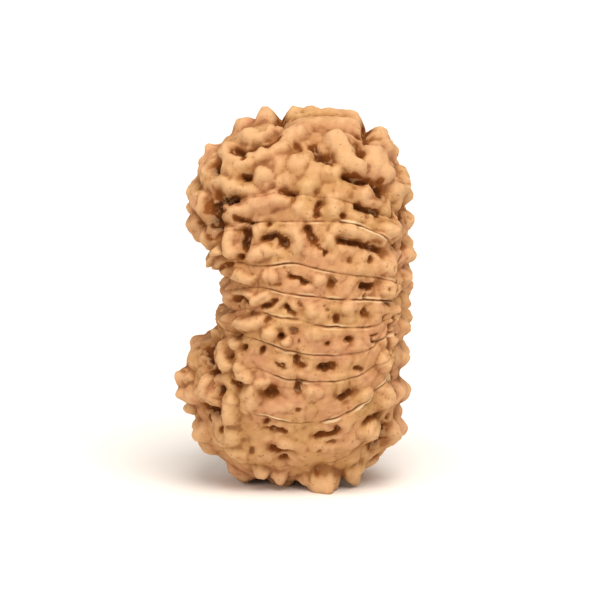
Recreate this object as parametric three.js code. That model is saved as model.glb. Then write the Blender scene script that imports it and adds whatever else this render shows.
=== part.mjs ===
// Nineteen mukhi rudraksha: one large stony bead, kidney-shaped, standing on its lower end.
//
// Millimetres, +Z up, front towards -Y. The pole axis lies along X: nineteen lines run from the left pole,
// in the hollow of the kidney, to the right pole, and part the bead into nineteen ribs. The plain body is
// a formula of two numbers, across (-1 at the left pole, 1 at the right pole) and turn (the angle round the
// pole axis, 0 at the front, a quarter turn at the top). Knobs, ridges, pits and gullies are raised or sunk
// from it. Those of the front are placed where they are seen from the front and a little above, in
// millimetres to the right and up from the middle, and those of the back by a seeded rule.

import * as THREE from "three";

// The plain body.
const MIDDLE_RIGHT = -0.25;
const HALF_WIDTH = 10;
const HALF_HEIGHT = 16.2;
const HALF_DEPTH = 8.5;
const LEFT_SQUARENESS = 3;
const RIGHT_SQUARENESS = 3.3;
const FLANK_SQUARENESS = 2.7;
const SECTION_SQUARENESS = 2.3;

// The hollow of the kidney, on the left, and a slight one on the right.
const WAIST_DEPTH = 4.1;
const WAIST_UP = 0.8;
const WAIST_HALF_HEIGHT = 5;
const WAIST_SQUARENESS = 3;
const RIGHT_HOLLOW_DEPTH = 0.7;
const RIGHT_HOLLOW_UP = -3;
const RIGHT_HOLLOW_HALF_HEIGHT = 8;

// The direction from which the front was measured.
const VIEW_TILT = THREE.MathUtils.degToRad(12);

// Ribs and lines.
const MUKHI = 19;
const RIB_RISE = 0.25;
const RIB_FLATNESS = 0.7;
const LINE_DEPTH = 0.25;
const LINE_RIM = 0.1;
const LINE_HALF_WIDTH = 0.38;
const LINE_FADE = 0.06;
const SEAM_ACROSS = 0.86;

// The level on which the feet are ground flat.
const FLOOR = -16.7;

// A pit or gully is wider than its dark core, which is what was measured, and has a soft shoulder.
const PIT_SPREAD = 1.2;
const SHOULDER_SHARE = 0.4;
const SHOULDER_REACH = 2.4;
const PIT_ROUNDNESS = 1.3;

// The mesh: rings of vertices round the pole axis, how finely a rib is divided, and the smallest pit that
// it can hold.
const RINGS = 48;
const ROW_PITCH = 1.0;
const WIDEST_RIM_PART = 0.22;
const SMALLEST_PIT = 0.42;
const PIT_PULL = 0.6;

const SEED = 19;

const QUARTER = Math.PI / 2;
const clamp = THREE.MathUtils.clamp;
const lerp = THREE.MathUtils.lerp;

// The plain body.

function signedPower(value, power) {
  return Math.sign(value) * Math.abs(value) ** power;
}

function superRound(value, squareness) {
  return Math.max(0, 1 - Math.abs(value) ** squareness) ** (1 / squareness);
}

function bodyPoint(across, turn) {
  const tall = HALF_HEIGHT * superRound(across, across < 0 ? LEFT_SQUARENESS : RIGHT_SQUARENESS);
  const deep = HALF_DEPTH * superRound(across, FLANK_SQUARENESS);
  const up = tall * signedPower(Math.sin(turn), 2 / SECTION_SQUARENESS);
  const back = -deep * signedPower(Math.cos(turn), 2 / SECTION_SQUARENESS);
  const waist = WAIST_DEPTH * Math.exp(-(Math.abs((up - WAIST_UP) / WAIST_HALF_HEIGHT) ** WAIST_SQUARENESS));
  const rightReach = (up - RIGHT_HOLLOW_UP) / RIGHT_HOLLOW_HALF_HEIGHT;
  const rightHollow = RIGHT_HOLLOW_DEPTH * Math.exp(-(rightReach ** 2));
  const sunk = waist * Math.max(0, -across) ** 2 - rightHollow * Math.max(0, across) ** 2;
  const side = MIDDLE_RIGHT + HALF_WIDTH * across + sunk;
  return new THREE.Vector3(side, back, up);
}

function bodyNormal(across, turn) {
  const step = 1e-3;
  const near = clamp(across, -1 + 4 * step, 1 - 4 * step);
  const alongAcross = bodyPoint(near + step, turn).sub(bodyPoint(near - step, turn));
  const alongTurn = bodyPoint(near, turn + step).sub(bodyPoint(near, turn - step));
  return alongAcross.cross(alongTurn).normalize();
}

// Places seen from the front, from below and from the two sides. A place is looked for on a grid over the
// body, and then by ever smaller steps.
const GRID_EDGE = 0.98;
const GRID_STEP = 0.02;
const GRID_TURN = Math.PI / 72;
const FIRST_STEP = 0.01;
const LAST_STEP = 0.0004;
const FARTHEST_ACROSS = 0.995;
const STEP_WAYS = [[1, 0], [-1, 0], [0, 2], [0, -2], [1, 2], [-1, -2], [1, -2], [-1, 2]];

const FRONT_VIEW = {
  right: new THREE.Vector3(1, 0, 0),
  up: new THREE.Vector3(0, Math.sin(VIEW_TILT), Math.cos(VIEW_TILT)),
  back: new THREE.Vector3(0, -Math.cos(VIEW_TILT), Math.sin(VIEW_TILT)),
};
const UNDER_VIEW = {
  right: new THREE.Vector3(1, 0, 0),
  up: new THREE.Vector3(0, 1, 0),
  back: new THREE.Vector3(0, 0, -1),
};
const RIGHT_VIEW = {
  right: new THREE.Vector3(0, 1, 0),
  up: new THREE.Vector3(0, 0, 1),
  back: new THREE.Vector3(1, 0, 0),
};
const LEFT_VIEW = {
  right: new THREE.Vector3(0, 1, 0),
  up: new THREE.Vector3(0, 0, 1),
  back: new THREE.Vector3(-1, 0, 0),
};

function seenGrid(view) {
  const places = [];
  for (let across = -GRID_EDGE; across <= GRID_EDGE; across += GRID_STEP) {
    for (let turn = -Math.PI; turn < Math.PI; turn += GRID_TURN) {
      if (bodyNormal(across, turn).dot(view.back) > 0) {
        const point = bodyPoint(across, turn);
        places.push({ across, turn, right: point.dot(view.right), up: point.dot(view.up) });
      }
    }
  }
  return places;
}

function findPlace(view, grid, [right, up]) {
  const miss = (place) => (place.right - right) ** 2 + (place.up - up) ** 2;
  let best = grid[0];
  for (const place of grid) {
    if (miss(place) < miss(best)) best = place;
  }
  for (let step = FIRST_STEP; step > LAST_STEP; step /= 2) {
    for (const [byAcross, byTurn] of STEP_WAYS) {
      const across = clamp(best.across + byAcross * step, -FARTHEST_ACROSS, FARTHEST_ACROSS);
      const turn = best.turn + byTurn * step;
      const point = bodyPoint(across, turn);
      const next = { across, turn, right: point.dot(view.right), up: point.dot(view.up) };
      if (bodyNormal(across, turn).dot(view.back) > 0 && miss(next) < miss(best)) best = next;
    }
  }
  return best;
}

function placesOn(view) {
  const grid = seenGrid(view);
  return (spot) => findPlace(view, grid, spot);
}

const onFront = placesOn(FRONT_VIEW);
const onUnderside = placesOn(UNDER_VIEW);
const onRightSide = placesOn(RIGHT_VIEW);
const onLeftSide = placesOn(LEFT_VIEW);

// The eleven lines of the front, from the lowest up, each from left to right.
const FRONT_LINES = [
  [[-6.5, -13.6], [-3.6, -14.8], [-0.4, -14.8], [2.8, -14.5], [4.2, -13.9], [6.3, -12.1], [7.4, -10.2],
    [8.2, -8.9]],
  [[-7.2, -8.8], [-5.3, -9.2], [-4.1, -10], [-1.3, -10.7], [0.9, -10.9], [3.3, -10.4], [5.3, -9.3],
    [7.9, -6.7]],
  [[-7.3, -6.6], [-5.6, -6.3], [-4, -6], [-0.9, -7.05], [2.5, -7.2], [5.1, -6.75], [6.2, -6.1], [7.7, -4.9]],
  [[-6.6, -2.6], [-5, -3.1], [-3.6, -3.5], [-0.9, -4.5], [3, -4.9], [6.1, -4.3], [7.8, -2.9]],
  [[-6, -1], [-4.6, -0.7], [-2.2, -1.45], [0, -1.75], [2, -2.25], [4.5, -2.4], [6.6, -2.25], [7.8, -1.5]],
  [[-6, 1], [-4.6, 1.15], [-3.1, 1.1], [-1.6, 0.7], [1.3, 0.3], [3, 0.1], [7.8, 0]],
  [[-5.8, 3.3], [-3, 3.05], [-0.6, 3.3], [1.5, 2.8], [4.4, 2.25], [7, 2], [8.1, 1.6]],
  [[-6.3, 6.2], [-5, 6.3], [-4.2, 6.9], [-0.9, 7], [4, 6.9], [6.5, 6.1], [8.3, 4.9]],
  [[-7, 9.1], [-5.6, 8.7], [-4, 9.05], [-1, 9.4], [1.5, 9.2], [5.2, 8.5], [7.2, 7.7], [8.6, 7.2]],
  [[-5.8, 13.5], [-4, 13], [-2.2, 13.9], [0, 13.4], [2.9, 12], [4.3, 10.9], [6.4, 10.2], [7.6, 9.4]],
  [[-5.6, 15], [-1, 15], [3.4, 14.8], [5, 14.1], [7.5, 12.4], [9.1, 9.9]],
];

// The eight lines of the back, from the top down, as heights at the middle of the bead.
const BACK_LINES = [12.2, 8.9, 5.6, 2.4, -0.8, -4, -7.3, -10.9];
const BACK_WAVE = 0.45;
const BACK_WAVES_ACROSS = 3;
const BACK_WAVE_SHIFT = 2.4;

function heightOn(line, right) {
  const place = clamp(right, line[0][0], line[line.length - 1][0]);
  let from = 0;
  while (from < line.length - 2 && place > line[from + 1][0]) from += 1;
  const slope = (at) => {
    const before = line[Math.max(0, at - 1)];
    const after = line[Math.min(line.length - 1, at + 1)];
    return (after[1] - before[1]) / (after[0] - before[0]);
  };
  const span = line[from + 1][0] - line[from][0];
  const part = (place - line[from][0]) / span;
  const straight = lerp(line[from][1], line[from + 1][1], part);
  const leave = slope(from) * span - (line[from + 1][1] - line[from][1]);
  const arrive = slope(from + 1) * span - (line[from + 1][1] - line[from][1]);
  return straight + part * (1 - part) * ((1 - part) * leave - part * arrive);
}

const lineEnds = FRONT_LINES.map((line) => [onFront(line[0]).across, onFront(line[line.length - 1]).across]);

// The turn at which a front line crosses a ring is found by halving, between the lowest and the highest
// turn that the front view reaches.
const LOWEST_SEEN = -0.93 * QUARTER;
const HIGHEST_SEEN = 0.97 * QUARTER;
const HALVINGS = 24;

function frontLineTurn(index, across) {
  const line = FRONT_LINES[index];
  const held = clamp(across, lineEnds[index][0], lineEnds[index][1]);
  let low = LOWEST_SEEN;
  let high = HIGHEST_SEEN;
  for (let halving = 0; halving < HALVINGS; halving += 1) {
    const middle = (low + high) / 2;
    const point = bodyPoint(held, middle);
    if (point.dot(FRONT_VIEW.up) < heightOn(line, point.x)) low = middle;
    else high = middle;
  }
  return (low + high) / 2;
}

function backLineTurn(index, across) {
  const wave = BACK_WAVE * Math.sin(BACK_WAVES_ACROSS * across + BACK_WAVE_SHIFT * index);
  const share = clamp((BACK_LINES[index] + wave) / HALF_HEIGHT, -1, 1);
  return 2 * QUARTER - Math.asin(signedPower(share, SECTION_SQUARENESS / 2));
}

function lineTurn(index, across) {
  const lap = Math.floor(index / MUKHI);
  const line = index - lap * MUKHI;
  const turn = line < FRONT_LINES.length
    ? frontLineTurn(line, across)
    : backLineTurn(line - FRONT_LINES.length, across);
  return turn + lap * 2 * Math.PI;
}

// A line is plain between the seams, and fades out towards the poles.
function lineStrength(index, across) {
  const [left, right] = index < FRONT_LINES.length ? lineEnds[index] : [-SEAM_ACROSS, SEAM_ACROSS];
  const fromLeft = clamp((across - left) / LINE_FADE + 1, 0, 1);
  const fromRight = clamp((right - across) / LINE_FADE + 1, 0, 1);
  return fromLeft * fromRight;
}

// Knobs, ridges, pits and gullies.

const strokes = [];

// A stroke is a knob or pit at one spot, or a ridge or gully along several.
function addStroke(half, height, places) {
  const path = places.map((place) => bodyPoint(place.across, place.turn));
  strokes.push({ half, height, places, path });
}

function raise(half, height, ...spots) {
  addStroke(half, height, spots.map(onFront));
}

function sink(half, depth, ...spots) {
  addStroke(Math.max(PIT_SPREAD * half, SMALLEST_PIT), -depth, spots.map(onFront));
}

function distanceTo(path, point) {
  let nearest = path[0].distanceTo(point);
  for (let at = 1; at < path.length; at += 1) {
    const along = path[at].clone().sub(path[at - 1]);
    const offset = point.clone().sub(path[at - 1]);
    const part = clamp(offset.dot(along) / along.lengthSq(), 0, 1);
    nearest = Math.min(nearest, offset.addScaledVector(along, -part).length());
  }
  return nearest;
}

function strokeRelief(point) {
  let raised = 0;
  let sunk = 0;
  for (const { half, height, path } of strokes) {
    const far = distanceTo(path, point) / half;
    if (height > 0) {
      if (far < 1) raised = Math.max(raised, height * (1 - far ** 2));
    } else if (far < SHOULDER_REACH) {
      const core = Math.max(0, 1 - far ** 2) ** PIT_ROUNDNESS;
      const shoulder = SHOULDER_SHARE * (1 - (far / SHOULDER_REACH) ** 2) ** 2;
      sunk = Math.min(sunk, height * Math.max(core, shoulder));
    }
  }
  return raised + sunk;
}

// The top end.
raise(1.4, 1.3, [-2.8, 16]);
raise(1.5, 1.1, [-0.4, 16.4], [1.8, 16.4], [5, 16.1]);
raise(1.3, 0.8, [0.4, 15.5], [4.5, 15.3]);
raise(1.1, 1.2, [7, 15]);
raise(1.2, 1, [8, 13.4]);
raise(1.2, 1.1, [9.7, 11.4]);
raise(1, 1.2, [10.2, 9.6]);
raise(1, 0.8, [-5, 15.8]);
raise(1, 0.8, [-8, 13.5]);
raise(0.8, 1, [-4.7, 14.3], [-3.3, 14.4]);
raise(0.5, 0.6, [-2.6, 14.9], [-1.6, 15]);
raise(1.1, 0.9, [-5.3, 12.1], [-3.4, 12.8], [-2, 13.5], [-0.7, 14.5], [0.2, 15.1]);
raise(1.2, 0.7, [-6.6, 13.3], [-6, 11.9]);
raise(1, 0.6, [-8.4, 12.3], [-8.6, 11]);
raise(1, 0.7, [-7.4, 10.4], [-5.6, 9.9], [-4.1, 9.6]);
raise(1.4, 0.5, [-1.8, 12], [-1.2, 11]);
raise(1.1, 1, [3.1, 14.2], [4, 12.5], [4.9, 11.5]);
raise(1.4, 1.1, [6.5, 12.5], [7.2, 11.3]);
raise(1.2, 0.6, [0.5, 10.2], [1.4, 11.5], [2.8, 11.7]);
raise(0.9, 0.6, [8.3, 10], [8.6, 8.8]);
sink(0.4, 1.4, [-1.7, 16.6], [-1.6, 16], [-1.7, 15.3]);
sink(0.3, 0.5, [-4.4, 15.2]);
sink(0.5, 1.8, [-7.5, 11.8]);
sink(0.5, 1.3, [-4.6, 10.8]);
sink(0.4, 1, [-5.8, 13.3], [-4.9, 12.9], [-3.9, 13.3], [-2.9, 13.4], [-1.9, 14.2]);
sink(0.5, 1, [1.2, 13.7], [1.7, 12.9], [2.6, 12.3]);
sink(0.35, 1, [5, 13.9], [5.4, 12.9]);
sink(0.4, 1.3, [5.8, 15.4], [6, 14]);
sink(0.5, 0.25, [2.5, 10.7]);
sink(0.4, 1.1, [4.2, 11], [5.2, 10.6], [6.1, 10.5]);
sink(0.6, 1.4, [6.7, 9.8], [7.2, 9.5]);

// The upper left, round the big dark hollow.
raise(1, 0.9, [-9.7, 9.5]);
raise(0.8, 0.9, [-9.4, 8.2]);
raise(1, 0.9, [-9.2, 6.8]);
raise(0.8, 0.9, [-8, 5.4]);
raise(0.6, 1, [-8.4, 9.2], [-8.5, 8.1], [-8.1, 6.9], [-7.6, 5.9]);
raise(1, 0.8, [-6.8, 7.4], [-5.4, 8.1], [-4.3, 8.6], [-2.9, 8.8], [-1.7, 9]);
raise(0.6, 1.2, [-6.9, 4.6], [-8, 3.6]);
raise(0.8, 0.8, [-6.5, 6.2], [-6.2, 4.4]);
sink(0.4, 0.9, [-9, 9.9]);
sink(0.9, 2, [-7.3, 8.4], [-7.4, 6.9]);
sink(0.5, 1.4, [-6.7, 8.8], [-5.6, 8.9]);
sink(0.35, 0.8, [-8.7, 6.8]);
sink(0.3, 0.8, [-5.6, 7.3], [-4.4, 7]);

// The upper ribs of the front.
raise(0.8, 0.5, [-3.7, 6.1]);
raise(0.8, 0.6, [-4.1, 4.1], [-3.3, 4.3]);
raise(0.9, 0.5, [-0.7, 6.2], [-0.3, 5.2]);
raise(0.7, 0.6, [3.3, 6.3], [5.4, 6], [7.3, 5.4]);
raise(0.8, 0.4, [2.7, 5.5]);
raise(0.9, 0.4, [3, 8.9], [3.2, 7.9]);
raise(0.8, 0.4, [-0.1, 8.2]);
sink(0.3, 0.8, [-1.7, 9.6], [-0.5, 9.5]);
sink(0.3, 0.5, [1.4, 9.5]);
sink(0.38, 0.9, [1.6, 8.4], [1.55, 7.5]);
sink(0.33, 0.7, [3.9, 7.5]);
sink(0.35, 0.9, [5.2, 8.4], [6.1, 7.9], [7.1, 7.6]);
sink(0.6, 1.6, [9.2, 7.7], [9.1, 6.9]);
sink(0.33, 0.9, [-2.8, 6.7]);
sink(0.45, 1.2, [-4.8, 6], [-4.7, 4.7]);
sink(0.42, 0.9, [-5.3, 3.9]);
sink(0.42, 1.2, [-3, 5.5], [-2.1, 5.7], [-1.3, 5.1]);
sink(0.4, 0.9, [0.6, 6.4], [0.9, 5.8], [1.3, 5.3]);
sink(0.35, 0.8, [2.2, 4.2]);
sink(0.4, 1.2, [3.6, 5.4], [5.5, 5], [7.2, 4.5]);
sink(0.33, 0.7, [4.3, 3.6]);
sink(0.35, 0.7, [6.2, 3.6]);

// The middle ribs, and their ends in the hollow of the kidney.
raise(0.6, 0.8, [-6.5, 2.2]);
raise(0.6, 0.7, [-5.4, 2.3], [-4.3, 2]);
raise(0.9, 0.6, [-2.7, 2.2]);
raise(0.7, 0.4, [1.6, 1.9]);
raise(0.5, 0.6, [-6.4, 0.3]);
raise(0.5, 0.5, [-5.6, 0.8], [-4.4, 0.6]);
raise(0.6, 0.6, [-4.1, 0.1], [-2.9, 0.3]);
raise(0.8, 0.4, [0.9, -0.7]);
raise(0.8, 0.4, [4.3, -0.6]);
raise(0.7, 0.9, [-7, -0.9]);
raise(0.6, 0.9, [-6.3, -2.2]);
raise(0.7, 0.7, [-5.3, -2.2], [-3.6, -1.8]);
raise(0.8, 0.7, [-2.7, -2.9]);
raise(0.55, 0.6, [-1.3, -3.6]);
raise(0.6, 0.8, [-5.7, -3.8]);
raise(0.8, 0.3, [1.2, -3]);
sink(0.3, 0.9, [-0.7, 2.2], [0, 1.9], [0.5, 1.6]);
sink(0.5, 1, [2.9, 1.6]);
sink(0.5, 1.2, [5.6, 1.2], [6.3, 1.2]);
sink(0.32, 0.8, [-5.6, 0.2], [-4.7, 0]);
sink(0.3, 0.7, [-2.2, 0.1], [-3.2, -0.5]);
sink(0.38, 0.9, [-1.1, -0.6], [-0.6, -1.1]);
sink(0.48, 1, [3.2, -1.6]);
sink(0.45, 0.9, [5.8, -1.1]);
sink(0.35, 0.9, [-1.8, -3]);
sink(0.4, 0.9, [-0.5, -2.8]);
sink(0.3, 0.7, [2.5, -3.8]);
sink(0.42, 0.9, [4.2, -3.45]);
sink(0.35, 0.8, [-5.5, -3]);
sink(0.38, 0.9, [-4.9, -4.2]);
sink(0.4, 0.8, [-3.3, -4.5]);
sink(0.36, 0.9, [-0.4, -5.1], [0.3, -5.7]);
sink(0.42, 1.1, [2, -5.9], [2.8, -5.9]);
sink(0.3, 0.6, [4.9, -6], [5.5, -5.95]);

// The lower left.
raise(1.5, 1, [-9.2, -5.5]);
raise(1.1, 1.5, [-10.3, -7]);
raise(1, 1.4, [-9.9, -8.2]);
raise(0.6, 1, [-8.3, -6.8], [-8.2, -8.3]);
raise(0.8, 0.9, [-7.4, -3.2]);
raise(0.7, 0.8, [-7.1, -4.9], [-6.6, -5.8]);
raise(0.8, 0.7, [-5.4, -6.1], [-4.6, -6.8]);
raise(0.8, 1.2, [-9.8, -9.6]);
raise(1.1, 0.8, [-6.1, -9.1], [-6.2, -10.4]);
raise(1, 0.5, [-4.4, -8.3], [-4.6, -9.3]);
raise(1.2, 0.6, [-9, -10.8]);
raise(1.3, 0.7, [-8.2, -12.6]);
raise(1.2, 0.6, [-5.7, -13.7]);
sink(0.7, 1.5, [-8, -4.4], [-7.9, -5]);
sink(0.4, 1.1, [-8.1, -6.2], [-7.6, -6.1]);
sink(0.35, 0.9, [-6.1, -4.9]);
sink(0.4, 0.9, [-5.9, -7.2], [-5.4, -7.4]);
sink(0.5, 1.1, [-7, -8.1]);
sink(0.55, 1.3, [-8.6, -9.7], [-7.6, -10]);
sink(0.33, 0.8, [-6.9, -11.6]);

// The lower ribs of the front.
raise(0.8, 0.5, [-3.3, -7.4]);
raise(0.9, 0.4, [1.2, -8.2]);
raise(0.9, 0.4, [5.9, -8.4]);
raise(0.9, 0.5, [-1.3, -12.9]);
raise(0.9, 0.4, [4.6, -12.6]);
raise(0.8, 1, [-3.5, -15.2]);
raise(0.9, 0.9, [-1.8, -15.6]);
raise(1, 1, [0.7, -15.7]);
raise(0.8, 1, [4.6, -15.5]);
sink(0.6, 1.2, [-2.8, -8.2], [-2.4, -8.1]);
sink(0.4, 1.1, [-0.1, -7.5], [-0.1, -8.1]);
sink(0.3, 0.6, [0, -9.6]);
sink(0.55, 1.1, [3.7, -8.7], [4.4, -8.3]);
sink(0.38, 1, [-3, -10.9]);
sink(0.3, 0.9, [-2.3, -11.6], [-1.4, -11.8]);
sink(0.35, 1, [1.5, -12.2], [2.6, -12], [3.4, -11.6]);
sink(0.45, 1.1, [-2.4, -13.3], [-1.4, -13.5]);
sink(0.4, 1.1, [-1.5, -14.2]);
sink(0.3, 0.6, [1.6, -15.1]);
sink(0.35, 0.7, [7.2, -10.1], [5.9, -10.9]);
sink(0.65, 1.9, [7.3, -11.9], [7, -12.9]);

// The right seam, and the ends of the back ribs beyond it.
sink(0.4, 0.45, [9.3, 5.6], [8.6, 3.6], [8.1, 1.6], [7.7, 0], [8, -1.6], [7.7, -3.1], [7.9, -5]);
sink(0.4, 1.2, [7.95, -5.6], [8.3, -6.5]);
sink(0.4, 1, [8.2, -7], [8.3, -8.4]);
sink(0.4, 0.7, [8.6, -9.2], [8.5, -10.2]);

// Seeded random numbers, the same on every run.
const DRAW_FACTOR = 1664525;
const DRAW_STEP = 1013904223;
const DRAW_RANGE = 2 ** 32;
let seedState = SEED;
function random([low, high]) {
  seedState = (seedState * DRAW_FACTOR + DRAW_STEP) % DRAW_RANGE;
  return low + ((high - low) * seedState) / DRAW_RANGE;
}

// On the two sides the ribs of the back come round to the seams, as rows of knuckles with pits between.
// Each rib has a height at the front seam and one at the back.
const RIGHT_RIBS = [
  [13.8, 14], [10.5, 10.5], [7.4, 7.2], [4.6, 4.6], [2.5, 2.7],
  [0.2, 0.8], [-2.1, -2.3], [-4.4, -5.4], [-7.4, -9], [-11, -12.4],
];
const LEFT_RIBS = [
  [12.4, 13], [9.6, 10.5], [6.9, 7.2], [4.1, 4.2], [1.8, 1.2],
  [-0.9, -1.8], [-3.8, -5.2], [-7.6, -8.9], [-11.2, -12.4],
];
const SIDE_FRONT = -5.6;
const SIDE_BACK = 6;
const LOW_RIB_HALF = 1.2;
const LOW_RIB_RISE = 0.45;
const KNUCKLES = 5;
const KNUCKLE_HALF = [1.05, 1.35];
const KNUCKLE_RISE = [0.75, 1.15];
const KNUCKLE_DRIFT = [-0.15, 0.15];
const KNUCKLE_OFFSET = [-0.25, 0.25];
const SIDE_PIT_HALF = [0.4, 0.55];
const SIDE_PIT_DEPTH = [0.4, 0.9];
const SIDE_PIT_OFFSET = [1.2, 1.5];
const SIDE_PIT_SHARE = 0.12;

function addSideRibs(ribs, onSide) {
  for (const [frontUp, backUp] of ribs) {
    const at = (share, offset) => {
      const up = lerp(frontUp, backUp, share) + offset;
      return onSide([lerp(SIDE_FRONT, SIDE_BACK, share), up]);
    };
    addStroke(LOW_RIB_HALF, LOW_RIB_RISE, [at(0, 0), at(0.5, 0), at(1, 0)]);
    for (let knuckle = 0; knuckle < KNUCKLES; knuckle += 1) {
      const share = (knuckle + random(KNUCKLE_DRIFT)) / (KNUCKLES - 1);
      const place = at(share, random(KNUCKLE_OFFSET));
      addStroke(random(KNUCKLE_HALF), random(KNUCKLE_RISE), [place]);
      const pit = at(share + SIDE_PIT_SHARE, random(SIDE_PIT_OFFSET));
      addStroke(random(SIDE_PIT_HALF), -random(SIDE_PIT_DEPTH), [pit]);
    }
  }
}

addSideRibs(RIGHT_RIBS, onRightSide);
addSideRibs(LEFT_RIBS, onLeftSide);

// The bottom end: three feet, ground flat where they stand.
const FEET = [[2, -3.2], [-4.1, 1.9], [4.3, 3]];
const FOOT_HALF = 1.7;
const FOOT_RISE = 2.2;
for (const foot of FEET) addStroke(FOOT_HALF, FOOT_RISE, [onUnderside(foot)]);

// On the back, the top and the underside each rib has two rows of knobs by turns, and pits between. The
// front edge of the top has no pits.
const FIRST_HIDDEN_RIB = FRONT_LINES.length - 1;
const LEFT_START = [-0.9, -0.8];
const RIGHT_END = 0.88;
const UPPER_PART = 0.7;
const LOWER_PART = 0.3;
const KNOB_DRIFT = [-0.07, 0.07];
const KNOB_LENGTH = [0, 0.09];
const KNOB_SLANT = [-0.12, 0.12];
const KNOB_HALF = [0.95, 1.25];
const KNOB_RISE = [0.55, 0.95];
const PIT_START = 0.02;
const PIT_END = [0.02, 0.1];
const PIT_SLANT = 0.05;
const PIT_HALF = [0.42, 0.58];
const PIT_DEPTH = [0.5, 1.2];
const KNOB_STEP = [0.15, 0.21];

function markHiddenRib(rib) {
  const at = (across, part) => ({
    across,
    turn: lerp(lineTurn(rib, across), lineTurn(rib + 1, across), part),
  });
  let across = random(LEFT_START);
  let upper = random([0, 1]) < 0.5;
  while (across < RIGHT_END) {
    const part = (upper ? UPPER_PART : LOWER_PART) + random(KNOB_DRIFT);
    const farEnd = across + random(KNOB_LENGTH);
    const knob = [at(across, part), at(farEnd, part + random(KNOB_SLANT))];
    addStroke(random(KNOB_HALF), random(KNOB_RISE), knob);
    const pit = [at(across + PIT_START, 1 - part), at(across + random(PIT_END), 1 - PIT_SLANT - part)];
    const pitHalf = random(PIT_HALF);
    const pitDepth = random(PIT_DEPTH);
    if (rib > FIRST_HIDDEN_RIB || !upper) addStroke(pitHalf, -pitDepth, pit);
    across += random(KNOB_STEP);
    upper = !upper;
  }
}

for (let rib = FIRST_HIDDEN_RIB; rib < MUKHI; rib += 1) markHiddenRib(rib);

// The mesh.

// The rings are spaced evenly along the body, measured halfway between its front and its top outline.
const MEASURED_TURN = 0.45 * QUARTER;
const MEASURING_STEPS = 2000;
const WIDTH_STEPS = 8;

function ringPlaces() {
  const at = (step) => {
    const across = -signedPower(Math.cos((Math.PI * step) / MEASURING_STEPS), 2 / LEFT_SQUARENESS);
    return { across, point: bodyPoint(across, MEASURED_TURN) };
  };
  const lengths = [0];
  for (let step = 1; step <= MEASURING_STEPS; step += 1) {
    lengths.push(lengths[step - 1] + at(step).point.distanceTo(at(step - 1).point));
  }
  const places = [];
  let step = 0;
  for (let ring = 1; ring <= RINGS; ring += 1) {
    const wanted = (lengths[MEASURING_STEPS] * ring) / (RINGS + 1);
    while (lengths[step] < wanted) step += 1;
    places.push(at(step).across);
  }
  return places;
}

function ribWidth(rib, across) {
  const from = lineTurn(rib, across);
  const to = lineTurn(rib + 1, across);
  let width = 0;
  for (let step = 0; step < WIDTH_STEPS; step += 1) {
    const start = bodyPoint(across, lerp(from, to, step / WIDTH_STEPS));
    width += start.distanceTo(bodyPoint(across, lerp(from, to, (step + 1) / WIDTH_STEPS)));
  }
  return width;
}

// Across one rib: the line itself, its rim, the rows of the rib's back, and the rim of the next line.
function ribParts(rows, width) {
  const rim = Math.min(WIDEST_RIM_PART, LINE_HALF_WIDTH / width);
  const parts = [0, rim];
  for (let row = 1; row <= rows; row += 1) parts.push(lerp(rim, 1 - rim, row / (rows + 1)));
  parts.push(1 - rim);
  return parts;
}

function ribRelief(rib, across, part, rows, place) {
  const strength = lineStrength(rib, across);
  const nextStrength = lineStrength((rib + 1) % MUKHI, across);
  const both = lerp(strength, nextStrength, part);
  if (place === 0) return -LINE_DEPTH * strength;
  if (place === 1) return LINE_RIM * strength;
  if (place === rows + 2) return LINE_RIM * nextStrength;
  return RIB_RISE * both * (4 * part * (1 - part)) ** RIB_FLATNESS;
}

function makeVertices() {
  const rowCounts = [];
  for (let rib = 0; rib < MUKHI; rib += 1) {
    rowCounts.push(Math.max(2, Math.round(ribWidth(rib, 0) / ROW_PITCH) - 1));
  }
  const rings = [];
  for (const across of ringPlaces()) {
    const ring = [];
    for (let rib = 0; rib < MUKHI; rib += 1) {
      const from = lineTurn(rib, across);
      const to = lineTurn(rib + 1, across);
      ribParts(rowCounts[rib], ribWidth(rib, across)).forEach((part, place) => {
        const relief = ribRelief(rib, across, part, rowCounts[rib], place);
        const turn = lerp(from, to, part);
        ring.push({ across, turn, relief, point: bodyPoint(across, turn) });
      });
    }
    rings.push(ring);
  }
  return rings;
}

// The vertex nearest to a small pit is drawn onto its middle, so that the mesh holds every pit.
function drawOntoPits(rings) {
  for (const { height, places } of strokes) {
    if (height > 0) continue;
    for (const place of places) {
      const middle = bodyPoint(place.across, place.turn);
      let nearest = null;
      let gap = PIT_PULL;
      for (const ring of rings) {
        for (const vertex of ring) {
          const distance = vertex.point.distanceTo(middle);
          if (distance < gap && !vertex.drawn) {
            gap = distance;
            nearest = vertex;
          }
        }
      }
      if (nearest) {
        nearest.across = place.across;
        nearest.turn = place.turn;
        nearest.point = middle;
        nearest.drawn = true;
      }
    }
  }
}

function raisedPoint(vertex) {
  const normal = bodyNormal(vertex.across, vertex.turn);
  const point = vertex.point.clone().addScaledVector(normal, vertex.relief + strokeRelief(vertex.point));
  point.z = Math.max(point.z, FLOOR);
  return point;
}

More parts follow.
